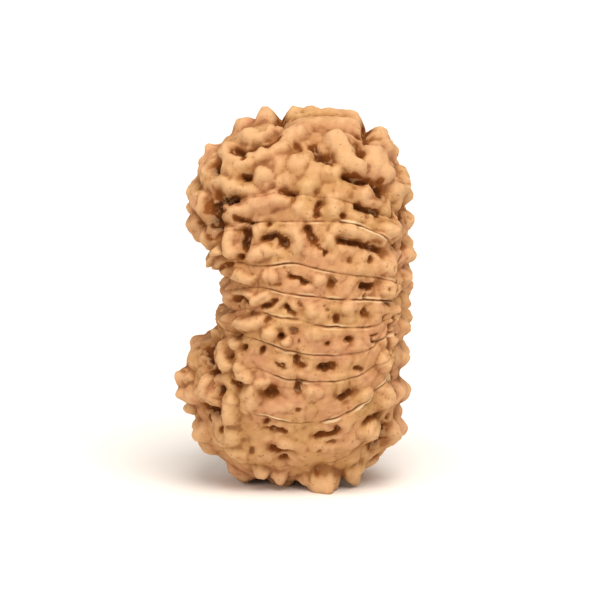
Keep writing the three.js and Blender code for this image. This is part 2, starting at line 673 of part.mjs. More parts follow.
function makeBead() {
  const rings = makeVertices();
  drawOntoPits(rings);
  const rows = rings[0].length;
  const points = rings.flat().map(raisedPoint);
  const leftPole = points.push(bodyPoint(-1, 0)) - 1;
  const rightPole = points.push(bodyPoint(1, 0)) - 1;
  const faces = [];
  for (let row = 0; row < rows; row += 1) {
    const next = (row + 1) % rows;
    faces.push(leftPole, row, next);
    const last = (RINGS - 1) * rows;
    faces.push(rightPole, last + next, last + row);
    for (let ring = 0; ring < RINGS - 1; ring += 1) {
      const [a, b] = [ring * rows + row, ring * rows + next];
      const [c, d] = [a + rows, b + rows];
      if (points[a].distanceTo(points[d]) < points[b].distanceTo(points[c])) faces.push(a, d, b, a, c, d);
      else faces.push(a, c, b, b, c, d);
    }
  }
  const geometry = new THREE.BufferGeometry();
  geometry.setFromPoints(points);
  geometry.setIndex(faces);
  geometry.computeBoundingBox();
  const middle = geometry.boundingBox.getCenter(new THREE.Vector3());
  geometry.translate(-middle.x, -middle.y, -geometry.boundingBox.min.z);
  geometry.computeVertexNormals();
  return geometry;
}

const shell = new THREE.MeshStandardMaterial({ color: 0xdfa373, roughness: 0.72, metalness: 0 });
const bead = new THREE.Mesh(makeBead(), shell);
bead.name = "bead";

const model = new THREE.Group();
model.add(bead);

export default model;
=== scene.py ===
"""A nineteen mukhi rudraksha: the looks of one large, kidney-shaped stony bead, standing on its lower end.

The bead is one piece. A grid is added and its vertices are moved onto the bead's own surface, wrapped round
it and closed at the two poles. The plain body is a formula of across (-1 at the left pole, 1 at the right
pole) and turn (the angle round the pole axis, 0 at the front, a quarter turn at the top), and lines, ribs,
knobs, ridges, pits and gullies are raised or sunk from it. Lengths in the shape's own lists are
millimetres.
"""

import math

import bpy
import numpy as np
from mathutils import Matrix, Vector, noise


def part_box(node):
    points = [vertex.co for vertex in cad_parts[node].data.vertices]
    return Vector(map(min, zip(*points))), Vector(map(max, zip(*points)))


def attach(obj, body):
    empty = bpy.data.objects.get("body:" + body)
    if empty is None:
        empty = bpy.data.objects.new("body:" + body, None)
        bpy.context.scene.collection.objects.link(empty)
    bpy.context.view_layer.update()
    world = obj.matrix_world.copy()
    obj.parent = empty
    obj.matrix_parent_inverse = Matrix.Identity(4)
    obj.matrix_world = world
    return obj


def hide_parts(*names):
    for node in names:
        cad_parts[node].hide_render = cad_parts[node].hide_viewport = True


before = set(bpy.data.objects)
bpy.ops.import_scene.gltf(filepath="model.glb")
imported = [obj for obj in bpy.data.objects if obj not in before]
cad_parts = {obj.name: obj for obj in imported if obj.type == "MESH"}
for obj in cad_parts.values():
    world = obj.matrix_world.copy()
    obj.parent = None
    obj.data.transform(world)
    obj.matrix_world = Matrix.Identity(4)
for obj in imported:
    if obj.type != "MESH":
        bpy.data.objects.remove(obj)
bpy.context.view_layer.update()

bl_info = {
    "name": "Nineteen Mukhi Rudraksha",
    "version": (1, 0, 0),
    "blender": (4, 5, 0),
    "location": "View3D > Sidebar > Rudraksha",
    "description": "Makes a large kidney-shaped rudraksha bead with nineteen lines",
    "category": "Add Mesh",
}

MM = 0.001
QUARTER = math.pi / 2
SAME_PLACE = 1e-7
NODE = "bead"

# The plain body, its deep hollow on the left and slight one on the right, and the level on which the
# feet are flat.
LEFT_SQUARENESS = 3
RIGHT_SQUARENESS = 3.3
FLANK_SQUARENESS = 2.7
SECTION_SQUARENESS = 2.3
MIDDLE_RIGHT = -0.25
WAIST_UP = 0.8
WAIST_HALF_HEIGHT = 5
WAIST_SQUARENESS = 3
RIGHT_HOLLOW_UP = -3
RIGHT_HOLLOW_HALF_HEIGHT = 8
FLOOR = -16.7

# A normal is measured over a small step, and never right at a pole.
NORMAL_STEP = 0.001
POLE_MARGIN = 0.004

# The front was measured from a little above. The camera has the same tilt, aims a little to the right
# of the origin, and frames a width of 54 mm from 600 mm away. It sees what is farther than 10 mm from it.
VIEW_TILT = math.radians(12)
AIM_RIGHT = 0.42
CAMERA_AWAY = 0.6
FRAME_WIDTH = 54 * MM
SENSOR_WIDTH = 36
NEAREST_SEEN = 10 * MM

# The studio: soft light from all sides, lamps with their place, size and watts, and pale paper as a floor.
WORLD_LIGHT = 0.55
WORLD_COLOUR = "FFFAF5"
LAMP_COLOUR = "FFF9F2"
LAMPS = {
    "key_light": ((0.32, -0.9, 1.85), 1.5, 50),
    "fill_light": ((-1.2, -1.1, 0.8), 1.0, 6),
}
PAPER_SIZE = 3
PAPER_COLOUR = "F4F1ED"
PAPER_ROUGHNESS = 0.9

# Ribs and lines. A line is a fine crack with a raised lip on each side.
MUKHI = 19
RIB_FLATNESS = 0.7
SEAM_ACROSS = 0.86
LINE_FADE = 0.06
CRACK_HALF_WIDTH = 0.07
LIP_OFFSET = 0.17
LIP_HALF_WIDTH = 0.1

# The mesh: rings of vertices round the pole axis, and rows along it. Some rows keep fixed gaps from each
# line, in millimetres, but stay within a part of the rib's width.
RINGS = 206
ROWS = 480
LINE_ROWS = (0.07, 0.15, 0.24, 0.36)
WIDEST_LINE_PART = 0.3
WIDTH_STEPS = 8
MEASURED_TURN = 0.45 * QUARTER
MEASURING_STEPS = 4000

# A pit or gully is wider than its dark core, which is what was measured, and has a soft shoulder.
PIT_SPREAD = 1.2
SHOULDER_SHARE = 0.4
SHOULDER_REACH = 2.4
PIT_ROUNDNESS = 1.3

# A place is looked for on a grid over the body, and then by ever smaller steps.
GRID_EDGE = 0.98
GRID_STEP = 0.02
GRID_TURN = math.pi / 72
FIRST_STEP = 0.01
LAST_STEP = 0.0004
FARTHEST_ACROSS = 0.995

# Unevenness. Each pair has how far or how much it goes, and the size of its lumps in millimetres.
DRIFT = (0.26, 1.0)
FRAY = (0.1, 0.45)
RAISED_CHANGE = (0.3, 1.3)
SUNK_CHANGE = (0.45, 0.7)
LUMPS = ((0.24, 2.1), (0.12, 1.0), (0.07, 0.5))
CREASES = (5, 1.4)
CREASE_DEPTH = 0.12
SKIN_SIZE = 0.3
LINE_SHIFT = (0.05, 0.7)
LINE_CHANGE = (1.5, 2.0)
LINE_MIDDLE = 0.6
LEAST_LINE = 0.1
LIP_SIDES = (2, 2.6)
LOWER_LIP_SHARE = 0.2
LEAST_CRACK = 0.4

# How many rows and rings away a place is compared with what lies round it: on the whole, and at its edges.
NEIGHBOURHOOD = 7
RIM_NEIGHBOURHOOD = 2

# The seeded draws.
SEED = 19
DRAW_FACTOR = 1664525
DRAW_STEP = 1013904223
DRAW_RANGE = 2 ** 32


def linear_colour(hex_text):
    """An sRGB hex colour as linear red, green, blue and alpha."""
    parts = [int(hex_text[at:at + 2], 16) / 255 for at in (0, 2, 4)]
    return [p / 12.92 if p <= 0.04045 else ((p + 0.055) / 1.055) ** 2.4 for p in parts] + [1.0]


# The plain body.
def signed_power(value, power):
    return np.sign(value) * np.abs(value) ** power


def super_round(value, squareness):
    return np.maximum(0, 1 - np.abs(value) ** squareness) ** (1 / squareness)


class Body:
    """The plain body of the bead, without its relief, in millimetres."""

    def __init__(self, half_width, half_height, half_depth, waist_depth, right_hollow_depth):
        self.half_width = half_width
        self.half_height = half_height
        self.half_depth = half_depth
        self.waist_depth = waist_depth
        self.right_hollow_depth = right_hollow_depth

    def point(self, across, turn):
        squareness = np.where(across < 0, LEFT_SQUARENESS, RIGHT_SQUARENESS)
        tall = self.half_height * super_round(across, squareness)
        deep = self.half_depth * super_round(across, FLANK_SQUARENESS)
        up = tall * signed_power(np.sin(turn), 2 / SECTION_SQUARENESS)
        back = -deep * signed_power(np.cos(turn), 2 / SECTION_SQUARENESS)
        right_reach = ((up - RIGHT_HOLLOW_UP) / RIGHT_HOLLOW_HALF_HEIGHT) ** 2
        right_share = np.exp(-right_reach) * np.maximum(0, across) ** 2
        sunk = self.waist_depth * self.waist_share(across, up) - self.right_hollow_depth * right_share
        side = MIDDLE_RIGHT + self.half_width * across + sunk
        return np.stack([side, back, up], axis=-1)

    def waist_share(self, across, up):
        """How far into the hollow of the kidney a place is, from 0 to 1."""
        reach = np.abs((up - WAIST_UP) / WAIST_HALF_HEIGHT) ** WAIST_SQUARENESS
        return np.exp(-reach) * np.maximum(0, -across) ** 2

    def normal(self, across, turn):
        near = np.clip(across, -1 + POLE_MARGIN, 1 - POLE_MARGIN)
        along_across = self.point(near + NORMAL_STEP, turn) - self.point(near - NORMAL_STEP, turn)
        along_turn = self.point(near, turn + NORMAL_STEP) - self.point(near, turn - NORMAL_STEP)
        normal = np.cross(along_across, along_turn)
        return normal / np.linalg.norm(normal, axis=-1, keepdims=True)


class View:
    """A direction from which places on the body are given, as millimetres to the right and up."""

    def __init__(self, body, right, up, back):
        self.body = body
        self.right = np.array(right)
        self.up = np.array(up)
        self.back = np.array(back)
        across, turn = np.meshgrid(np.arange(-GRID_EDGE, GRID_EDGE + GRID_STEP / 2, GRID_STEP),
                                   np.arange(-math.pi, math.pi, GRID_TURN))
        seen = body.normal(across, turn) @ self.back > 0
        self.across = across[seen]
        self.turn = turn[seen]
        point = body.point(self.across, self.turn)
        self.seen_right = point @ self.right
        self.seen_up = point @ self.up

    def place(self, spot):
        """The place (across, turn) that is seen nearest to spot."""
        best = np.argmin((self.seen_right - spot[0]) ** 2 + (self.seen_up - spot[1]) ** 2)
        across, turn = self.across[best], self.turn[best]
        step = FIRST_STEP
        while step > LAST_STEP:
            by_across, by_turn = np.meshgrid((-step, 0, step), (-2 * step, 0, 2 * step))
            tries_across = np.clip(across + by_across.ravel(), -FARTHEST_ACROSS, FARTHEST_ACROSS)
            tries_turn = turn + by_turn.ravel()
            point = self.body.point(tries_across, tries_turn)
            miss = (point @ self.right - spot[0]) ** 2 + (point @ self.up - spot[1]) ** 2
            hidden = self.body.normal(tries_across, tries_turn) @ self.back <= 0
            best = np.argmin(np.where(hidden, np.inf, miss))
            across, turn = tries_across[best], tries_turn[best]
            step /= 2
        return across, turn


# The eleven lines of the front, from the lowest up, each from left to right.
FRONT_LINES = [
    [(-6.5, -13.6), (-3.6, -14.8), (-0.4, -14.8), (2.8, -14.5), (4.2, -13.9), (6.3, -12.1), (7.4, -10.2),
     (8.2, -8.9)],
    [(-7.2, -8.8), (-5.3, -9.2), (-4.1, -10), (-1.3, -10.7), (0.9, -10.9), (3.3, -10.4), (5.3, -9.3),
     (7.9, -6.7)],
    [(-7.3, -6.6), (-5.6, -6.3), (-4, -6), (-0.9, -7.05), (2.5, -7.2), (5.1, -6.75), (6.2, -6.1),
     (7.7, -4.9)],
    [(-6.6, -2.6), (-5, -3.1), (-3.6, -3.5), (-0.9, -4.5), (3, -4.9), (6.1, -4.3), (7.8, -2.9)],
    [(-6, -1), (-4.6, -0.7), (-2.2, -1.45), (0, -1.75), (2, -2.25), (4.5, -2.4), (6.6, -2.25), (7.8, -1.5)],
    [(-6, 1), (-4.6, 1.15), (-3.1, 1.1), (-1.6, 0.7), (1.3, 0.3), (3, 0.1), (7.8, 0)],
    [(-5.8, 3.3), (-3, 3.05), (-0.6, 3.3), (1.5, 2.8), (4.4, 2.25), (7, 2), (8.1, 1.6)],
    [(-6.3, 6.2), (-5, 6.3), (-4.2, 6.9), (-0.9, 7), (4, 6.9), (6.5, 6.1), (8.3, 4.9)],
    [(-7, 9.1), (-5.6, 8.7), (-4, 9.05), (-1, 9.4), (1.5, 9.2), (5.2, 8.5), (7.2, 7.7), (8.6, 7.2)],
    [(-5.8, 13.5), (-4, 13), (-2.2, 13.9), (0, 13.4), (2.9, 12), (4.3, 10.9), (6.4, 10.2), (7.6, 9.4)],
    [(-5.6, 15), (-1, 15), (3.4, 14.8), (5, 14.1), (7.5, 12.4), (9.1, 9.9)],
]

# The eight lines of the back, from the top down, as heights at the middle of the bead.
BACK_LINES = [12.2, 8.9, 5.6, 2.4, -0.8, -4, -7.3, -10.9]
BACK_WAVE = 0.45
BACK_WAVES_ACROSS = 3
BACK_WAVE_SHIFT = 2.4

# How plainly each line of the front shows its pale lips, from the lowest up, and all those of the back.
# Towards the left they end where the knobs begin.
FRONT_LIPS = [0.3, 1, 0.7, 0.6, 0.8, 0.8, 0.8, 1, 0.15, 0.1, 0.4]
BACK_LIP = 0.7
LIPS_START = -0.5
LIPS_FADE = 0.2

# The turns that the front view reaches, and how often the gap between them is halved to find a line.
LOWEST_SEEN = -0.93 * QUARTER
HIGHEST_SEEN = 0.97 * QUARTER
HALVINGS = 24


def height_on(line, right):
    """The height of a drawn line, as a smooth curve through its points."""
    x, y = np.array(line).T
    place = np.clip(right, x[0], x[-1])
    start = np.clip(np.searchsorted(x, place, side="left") - 1, 0, len(x) - 2)
    before = np.maximum(np.arange(len(x)) - 1, 0)
    after = np.minimum(np.arange(len(x)) + 1, len(x) - 1)
    slope = (y[after] - y[before]) / (x[after] - x[before])
    span = x[start + 1] - x[start]
    rise = y[start + 1] - y[start]
    part = (place - x[start]) / span
    leave = slope[start] * span - rise
    arrive = slope[start + 1] * span - rise
    return y[start] + rise * part + part * (1 - part) * ((1 - part) * leave - part * arrive)


class Lines:
    """The turn of each of the nineteen lines along the bead."""

    def __init__(self, body, front):
        self.body = body
        self.front = front
        self.ends = [(front.place(line[0])[0], front.place(line[-1])[0]) for line in FRONT_LINES]

    def front_turn(self, index, across):
        held = np.clip(across, *self.ends[index])
        low = np.full(held.shape, LOWEST_SEEN)
        high = np.full(held.shape, HIGHEST_SEEN)
        for _ in range(HALVINGS):
            middle = (low + high) / 2
            point = self.body.point(held, middle)
            under = point @ self.front.up < height_on(FRONT_LINES[index], point[..., 0])
            low = np.where(under, middle, low)
            high = np.where(under, high, middle)
        return (low + high) / 2

    def back_turn(self, index, across):
        wave = BACK_WAVE * np.sin(BACK_WAVES_ACROSS * across + BACK_WAVE_SHIFT * index)
        share = np.clip((BACK_LINES[index] + wave) / self.body.half_height, -1, 1)
        return 2 * QUARTER - np.arcsin(signed_power(share, SECTION_SQUARENESS / 2))

    def turn(self, index, across):
        across = np.asarray(across, float)
        lap, line = divmod(index, MUKHI)
        count = len(FRONT_LINES)
        turn = self.front_turn(line, across) if line < count else self.back_turn(line - count, across)
        return turn + lap * 2 * math.pi

    def strength(self, index, across):
        """1 between the seams, fading out towards the poles."""
        index %= MUKHI
        left, right = self.ends[index] if index < len(FRONT_LINES) else (-SEAM_ACROSS, SEAM_ACROSS)
        from_left = np.clip((across - left) / LINE_FADE + 1, 0, 1)
        return from_left * np.clip((right - across) / LINE_FADE + 1, 0, 1)

    def lip(self, index, across):
        """How plainly the pale lips of a line show."""
        index %= MUKHI
        share = FRONT_LIPS[index] if index < len(FRONT_LINES) else BACK_LIP
        return share * np.clip((across - LIPS_START) / LIPS_FADE, 0, 1)


# Knobs, ridges, pits and gullies.
class Strokes:
    """Knobs and pits at one spot, and ridges and gullies along several."""

    def __init__(self, body, front):
        self.body = body
        self.front = front
        self.items = []

    def add(self, half, height, places):
        path = [self.body.point(np.float64(across), np.float64(turn)) for across, turn in places]
        self.items.append((half, height, np.array(path)))

    def lift(self, half, height, *spots):
        self.add(half, height, [self.front.place(spot) for spot in spots])

    def sink(self, half, depth, *spots):
        self.add(PIT_SPREAD * half, -depth, [self.front.place(spot) for spot in spots])

    def relief(self, points):
        """What the knobs and ridges add to each point, and what the pits and gullies take away."""
        raised = np.zeros(len(points))
        sunk = np.zeros(len(points))
        for half, height, path in self.items:
            reach = half if height > 0 else half * SHOULDER_REACH
            low, high = path.min(0) - reach, path.max(0) + reach
            near = np.nonzero(np.all((points > low) & (points < high), axis=1))[0]
            if not len(near):
                continue
            far = distance_to(path, points[near]) / half
            if height > 0:
                raised[near] = np.maximum(raised[near], height * np.maximum(0, 1 - far ** 2))
            else:
                core = np.maximum(0, 1 - far ** 2) ** PIT_ROUNDNESS
                shoulder = SHOULDER_SHARE * np.maximum(0, 1 - (far / SHOULDER_REACH) ** 2) ** 2
                sunk[near] = np.minimum(sunk[near], height * np.maximum(core, shoulder))
        return raised, sunk


def distance_to(path, points):
    nearest = np.linalg.norm(points - path[0], axis=1)
    for start, end in zip(path[:-1], path[1:]):
        along = end - start
        part = np.clip((points - start) @ along / (along @ along), 0, 1)
        nearest = np.minimum(nearest, np.linalg.norm(points - start - part[:, None] * along, axis=1))
    return nearest


def mark_top_end(bead):
    """The top end."""
    bead.lift(1.4, 1.3, (-2.8, 16))
    bead.lift(1.5, 1.1, (-0.4, 16.4), (1.8, 16.4), (5, 16.1))
    bead.lift(1.2, 0.9, (0.2, 16), (4.7, 15.7))
    bead.lift(1.3, 0.8, (0.4, 15.5), (4.5, 15.3))
    bead.lift(1.1, 1.2, (7, 15))
    bead.lift(1.2, 1.0, (8, 13.4))
    bead.lift(1.2, 1.1, (9.7, 11.4))
    bead.lift(1.0, 1.2, (10.2, 9.6))
    bead.lift(1.0, 0.8, (-5, 15.8))
    bead.lift(1.0, 0.8, (-8, 13.5))
    bead.lift(0.8, 1.0, (-4.7, 14.3), (-3.3, 14.4))
    bead.lift(0.5, 0.6, (-2.6, 14.9), (-1.6, 15))
    bead.lift(1.1, 0.9, (-5.3, 12.1), (-3.4, 12.8), (-2, 13.5), (-0.7, 14.5), (0.2, 15.1))
    bead.lift(1.2, 0.7, (-6.6, 13.3), (-6, 11.9))
    bead.lift(1.0, 0.6, (-8.4, 12.3), (-8.6, 11))
    bead.lift(1.0, 0.7, (-7.4, 10.4), (-5.6, 9.9), (-4.1, 9.6))
    bead.lift(1.4, 0.5, (-1.8, 12), (-1.2, 11))
    bead.lift(1.1, 1.0, (3.1, 14.2), (4, 12.5), (4.9, 11.5))
    bead.lift(1.4, 1.1, (6.5, 12.5), (7.2, 11.3))
    bead.lift(1.2, 0.6, (0.5, 10.2), (1.4, 11.5), (2.8, 11.7))
    bead.lift(0.9, 0.6, (8.3, 10), (8.6, 8.8))
    bead.sink(0.4, 1.4, (-1.7, 16.6), (-1.6, 16), (-1.7, 15.3))
    bead.sink(0.3, 0.5, (-4.4, 15.2))
    bead.sink(0.5, 1.8, (-7.5, 11.8))
    bead.sink(0.5, 1.3, (-4.6, 10.8))
    bead.sink(0.4, 1.0, (-5.8, 13.3), (-4.9, 12.9), (-3.9, 13.3), (-2.9, 13.4), (-1.9, 14.2))
    bead.sink(0.5, 1.0, (1.2, 13.7), (1.7, 12.9), (2.6, 12.3))
    bead.sink(0.35, 1.0, (5, 13.9), (5.4, 12.9))
    bead.sink(0.4, 1.3, (5.8, 15.4), (6, 14))
    bead.sink(0.5, 0.25, (2.5, 10.7))
    bead.sink(0.4, 1.1, (4.2, 11), (5.2, 10.6), (6.1, 10.5))
    bead.sink(0.6, 1.4, (6.7, 9.8), (7.2, 9.5))
    bead.sink(0.22, 0.3, (-2.35, 10))
    bead.sink(0.13, 0.3, (7.6, 12.45), (8, 11.95))
    bead.sink(0.25, 0.4, (5.3, 15.9))
    bead.sink(0.25, 0.4, (2.1, 16.3))
    bead.sink(0.15, 0.3, (9.3, 9.6), (9.6, 8.9))


def mark_upper_left(bead):
    """The upper left, round the big dark hollow."""
    bead.lift(1.0, 0.9, (-9.7, 9.5))
    bead.lift(0.8, 0.9, (-9.4, 8.2))
    bead.lift(1.0, 0.9, (-9.2, 6.8))
    bead.lift(0.8, 0.9, (-8, 5.4))
    bead.lift(0.6, 1.0, (-8.4, 9.2), (-8.5, 8.1), (-8.1, 6.9), (-7.6, 5.9))
    bead.lift(1.0, 0.8, (-6.8, 7.4), (-5.4, 8.1), (-4.3, 8.6), (-2.9, 8.8), (-1.7, 9))
    bead.lift(0.6, 1.2, (-6.9, 4.6), (-8, 3.6))
    bead.lift(0.8, 0.8, (-6.5, 6.2), (-6.2, 4.4))
    bead.sink(0.4, 0.9, (-9, 9.9))
    bead.sink(0.9, 2.0, (-7.3, 8.4), (-7.4, 6.9))
    bead.sink(0.5, 1.4, (-6.7, 8.8), (-5.6, 8.9))
    bead.sink(0.35, 0.8, (-8.7, 6.8))
    bead.sink(0.3, 0.8, (-5.6, 7.3), (-4.4, 7))
    bead.sink(0.25, 0.6, (-6.9, 3.2), (-6.1, 3.2))


def mark_upper_ribs(bead):
    """The upper ribs of the front."""
    bead.lift(0.8, 0.5, (-3.7, 6.1))
    bead.lift(0.8, 0.6, (-4.1, 4.1), (-3.3, 4.3))
    bead.lift(0.9, 0.5, (-0.7, 6.2), (-0.3, 5.2))
    bead.lift(0.7, 0.6, (3.3, 6.3), (5.4, 6), (7.3, 5.4))
    bead.lift(0.8, 0.4, (2.7, 5.5))
    bead.lift(0.9, 0.4, (3, 8.9), (3.2, 7.9))
    bead.lift(0.8, 0.4, (-0.1, 8.2))
    bead.sink(0.3, 0.8, (-1.7, 9.6), (-0.5, 9.5))
    bead.sink(0.3, 0.5, (1.4, 9.5))
    bead.sink(0.38, 0.9, (1.6, 8.4), (1.55, 7.5))
    bead.sink(0.33, 0.7, (3.9, 7.5))
    bead.sink(0.35, 0.9, (5.2, 8.4), (6.1, 7.9), (7.1, 7.6))
    bead.sink(0.6, 1.6, (9.2, 7.7), (9.1, 6.9))
    bead.sink(0.33, 0.9, (-2.8, 6.7))
    bead.sink(0.45, 1.2, (-4.8, 6), (-4.7, 4.7))
    bead.sink(0.42, 0.9, (-5.3, 3.9))
    bead.sink(0.42, 1.2, (-3, 5.5), (-2.1, 5.7), (-1.3, 5.1))
    bead.sink(0.4, 0.9, (0.6, 6.4), (0.9, 5.8), (1.3, 5.3))
    bead.sink(0.35, 0.8, (2.2, 4.2))
    bead.sink(0.4, 1.2, (3.6, 5.4), (5.5, 5), (7.2, 4.5))
    bead.sink(0.33, 0.7, (4.3, 3.6))
    bead.sink(0.35, 0.7, (6.2, 3.6))
    bead.sink(0.2, 0.5, (-0.5, 9.3), (-0.7, 8.7))
    bead.sink(0.2, 0.5, (1.3, 5.3), (2.1, 4.4))
    bead.sink(0.2, 0.3, (3.4, 8.3))
    bead.sink(0.15, 0.35, (-3.5, 4.4), (-3.2, 3.9))
    bead.sink(0.14, 0.25, (-1.1, 4.3), (-0.6, 4.2))
    bead.sink(0.18, 0.4, (7.8, 3))
    bead.sink(0.14, 0.3, (-1.2, 2.9), (-0.9, 2.6))


def mark_middle_ribs(bead):
    """The middle ribs, and their ends in the hollow of the kidney."""
    bead.lift(0.6, 0.8, (-6.5, 2.2))
    bead.lift(0.6, 0.7, (-5.4, 2.3), (-4.3, 2))
    bead.lift(0.9, 0.6, (-2.7, 2.2))
    bead.lift(0.7, 0.4, (1.6, 1.9))
    bead.lift(0.5, 0.6, (-6.4, 0.3))
    bead.lift(0.5, 0.5, (-5.6, 0.8), (-4.4, 0.6))
    bead.lift(0.6, 0.6, (-4.1, 0.1), (-2.9, 0.3))
    bead.lift(0.8, 0.4, (0.9, -0.7))
    bead.lift(0.8, 0.4, (4.3, -0.6))
    bead.lift(0.7, 0.9, (-7, -0.9))
    bead.lift(0.6, 0.9, (-6.3, -2.2))
    bead.lift(0.7, 0.7, (-5.3, -2.2), (-3.6, -1.8))
    bead.lift(0.8, 0.7, (-2.7, -2.9))
    bead.lift(0.55, 0.6, (-1.3, -3.6))
    bead.lift(0.6, 0.8, (-5.7, -3.8))
    bead.lift(0.8, 0.3, (1.2, -3))
    bead.sink(0.3, 0.9, (-0.7, 2.2), (0, 1.9), (0.5, 1.6))
    bead.sink(0.5, 1.0, (2.9, 1.6))
    bead.sink(0.5, 1.2, (5.6, 1.2), (6.3, 1.2))
    bead.sink(0.32, 0.8, (-5.6, 0.2), (-4.7, 0))
    bead.sink(0.3, 0.7, (-2.2, 0.1), (-3.2, -0.5))
    bead.sink(0.38, 0.9, (-1.1, -0.6), (-0.6, -1.1))
    bead.sink(0.48, 1.0, (3.2, -1.6))
    bead.sink(0.45, 0.9, (5.8, -1.1))
    bead.sink(0.35, 0.9, (-1.8, -3.0))
    bead.sink(0.4, 0.9, (-0.5, -2.8))
    bead.sink(0.3, 0.7, (2.5, -3.8))
    bead.sink(0.42, 0.9, (4.2, -3.45))
    bead.sink(0.35, 0.8, (-5.5, -3))
    bead.sink(0.38, 0.9, (-4.9, -4.2))
    bead.sink(0.4, 0.8, (-3.3, -4.5))
    bead.sink(0.36, 0.9, (-0.4, -5.1), (0.3, -5.7))
    bead.sink(0.42, 1.1, (2, -5.9), (2.8, -5.9))
    bead.sink(0.3, 0.6, (4.9, -6), (5.5, -5.95))
    bead.sink(0.22, 0.35, (-2.3, 1.4), (-1.7, 1.35))
    bead.sink(0.22, 0.6, (5.9, 0.6), (5.9, 0.2))
    bead.sink(0.12, 0.4, (7.5, 1.4), (7.5, 1))
    bead.sink(0.25, 0.5, (7.6, 0.1))
    bead.sink(0.25, 0.5, (-5.4, -0.6))
    bead.sink(0.2, 0.4, (-4.2, -1.1), (-3.5, -1.2))
    bead.sink(0.2, 0.4, (-0.1, -0.2), (0.1, -0.6))
    bead.sink(0.18, 0.4, (2.3, -0.4), (2.5, -1))
    bead.sink(0.13, 0.3, (7.3, -1.6), (7.6, -1.1))
    bead.sink(0.25, 0.4, (-2.6, -1.6), (-3, -1.9))
    bead.sink(0.15, 0.5, (-0.1, -3.1), (-0.1, -3.7))
    bead.sink(0.15, 0.5, (6.9, -3), (6.2, -3.1), (6.4, -3.5), (6.8, -3.6))
    bead.sink(0.16, 0.5, (-2, -5.6), (-1.4, -5.5), (-1.5, -5.95), (-1.9, -5.7))


def mark_lower_left(bead):
    """The lower left."""
    bead.lift(1.5, 1.0, (-9.2, -5.5))
    bead.lift(1.1, 1.5, (-10.3, -7))
    bead.lift(1.0, 1.4, (-9.9, -8.2))
    bead.lift(0.6, 1.0, (-8.3, -6.8), (-8.2, -8.3))
    bead.lift(0.8, 0.9, (-7.4, -3.2))
    bead.lift(0.7, 0.8, (-7.1, -4.9), (-6.6, -5.8))
    bead.lift(0.8, 0.7, (-5.4, -6.1), (-4.6, -6.8))
    bead.lift(0.8, 1.2, (-9.8, -9.6))
    bead.lift(1.1, 0.8, (-6.1, -9.1), (-6.2, -10.4))
    bead.lift(1.0, 0.5, (-4.4, -8.3), (-4.6, -9.3))
    bead.lift(1.2, 0.6, (-9, -10.8))
    bead.lift(1.3, 0.7, (-8.2, -12.6))
    bead.lift(1.2, 0.6, (-5.7, -13.7))
    bead.sink(0.7, 1.5, (-8, -4.4), (-7.9, -5))
    bead.sink(0.4, 1.1, (-8.1, -6.2), (-7.6, -6.1))
    bead.sink(0.35, 0.9, (-6.1, -4.9))
    bead.sink(0.4, 0.9, (-5.9, -7.2), (-5.4, -7.4))
    bead.sink(0.5, 1.1, (-7, -8.1))
    bead.sink(0.55, 1.3, (-8.6, -9.7), (-7.6, -10))
    bead.sink(0.33, 0.8, (-6.9, -11.6))
    bead.sink(0.15, 0.5, (-10.1, -6.1), (-10.1, -6.6))
    bead.sink(0.15, 0.5, (-9.1, -7.1), (-9.1, -7.5))
    bead.sink(0.2, 0.4, (-6.9, -13))


def mark_lower_ribs(bead):
    """The lower ribs of the front."""
    bead.lift(0.8, 0.5, (-3.3, -7.4))
    bead.lift(0.9, 0.4, (1.2, -8.2))
    bead.lift(0.9, 0.4, (5.9, -8.4))
    bead.lift(0.9, 0.5, (-1.3, -12.9))
    bead.lift(0.9, 0.4, (4.6, -12.6))
    bead.lift(0.8, 1.0, (-3.5, -15.2))
    bead.lift(0.9, 0.9, (-1.8, -15.6))
    bead.lift(1.0, 1.0, (0.7, -15.7))
    bead.lift(0.8, 1.0, (4.6, -15.5))
    bead.sink(0.6, 1.2, (-2.8, -8.2), (-2.4, -8.1))
    bead.sink(0.4, 1.1, (-0.1, -7.5), (-0.1, -8.1))
    bead.sink(0.3, 0.6, (0, -9.6))
    bead.sink(0.55, 1.1, (3.7, -8.7), (4.4, -8.3))
    bead.sink(0.38, 1.0, (-3, -10.9))
    bead.sink(0.3, 0.9, (-2.3, -11.6), (-1.4, -11.8))
    bead.sink(0.35, 1.0, (1.5, -12.2), (2.6, -12), (3.4, -11.6))
    bead.sink(0.45, 1.1, (-2.4, -13.3), (-1.4, -13.5))
    bead.sink(0.4, 1.1, (-1.5, -14.2))
    bead.sink(0.3, 0.6, (1.6, -15.1))
    bead.sink(0.35, 0.7, (7.2, -10.1), (5.9, -10.9))
    bead.sink(0.65, 1.9, (7.3, -11.9), (7, -12.9))
    bead.sink(0.18, 0.4, (-4.2, -6.9))
    bead.sink(0.16, 0.45, (0.8, -9), (1, -8.75), (1.15, -9))
    bead.sink(0.13, 0.35, (4.3, -9.85), (5.2, -9.4))
    bead.sink(0.2, 0.5, (-3.2, -11.5), (-2.8, -11.5))
    bead.sink(0.22, 0.5, (2.3, -12.6), (3, -12.6))
    bead.sink(0.22, 0.5, (1.9, -13.4))
    bead.sink(0.22, 0.6, (-4.4, -13.1), (-4.3, -13.6))
    bead.sink(0.15, 0.4, (6.2, -14.3), (5.9, -14.7))


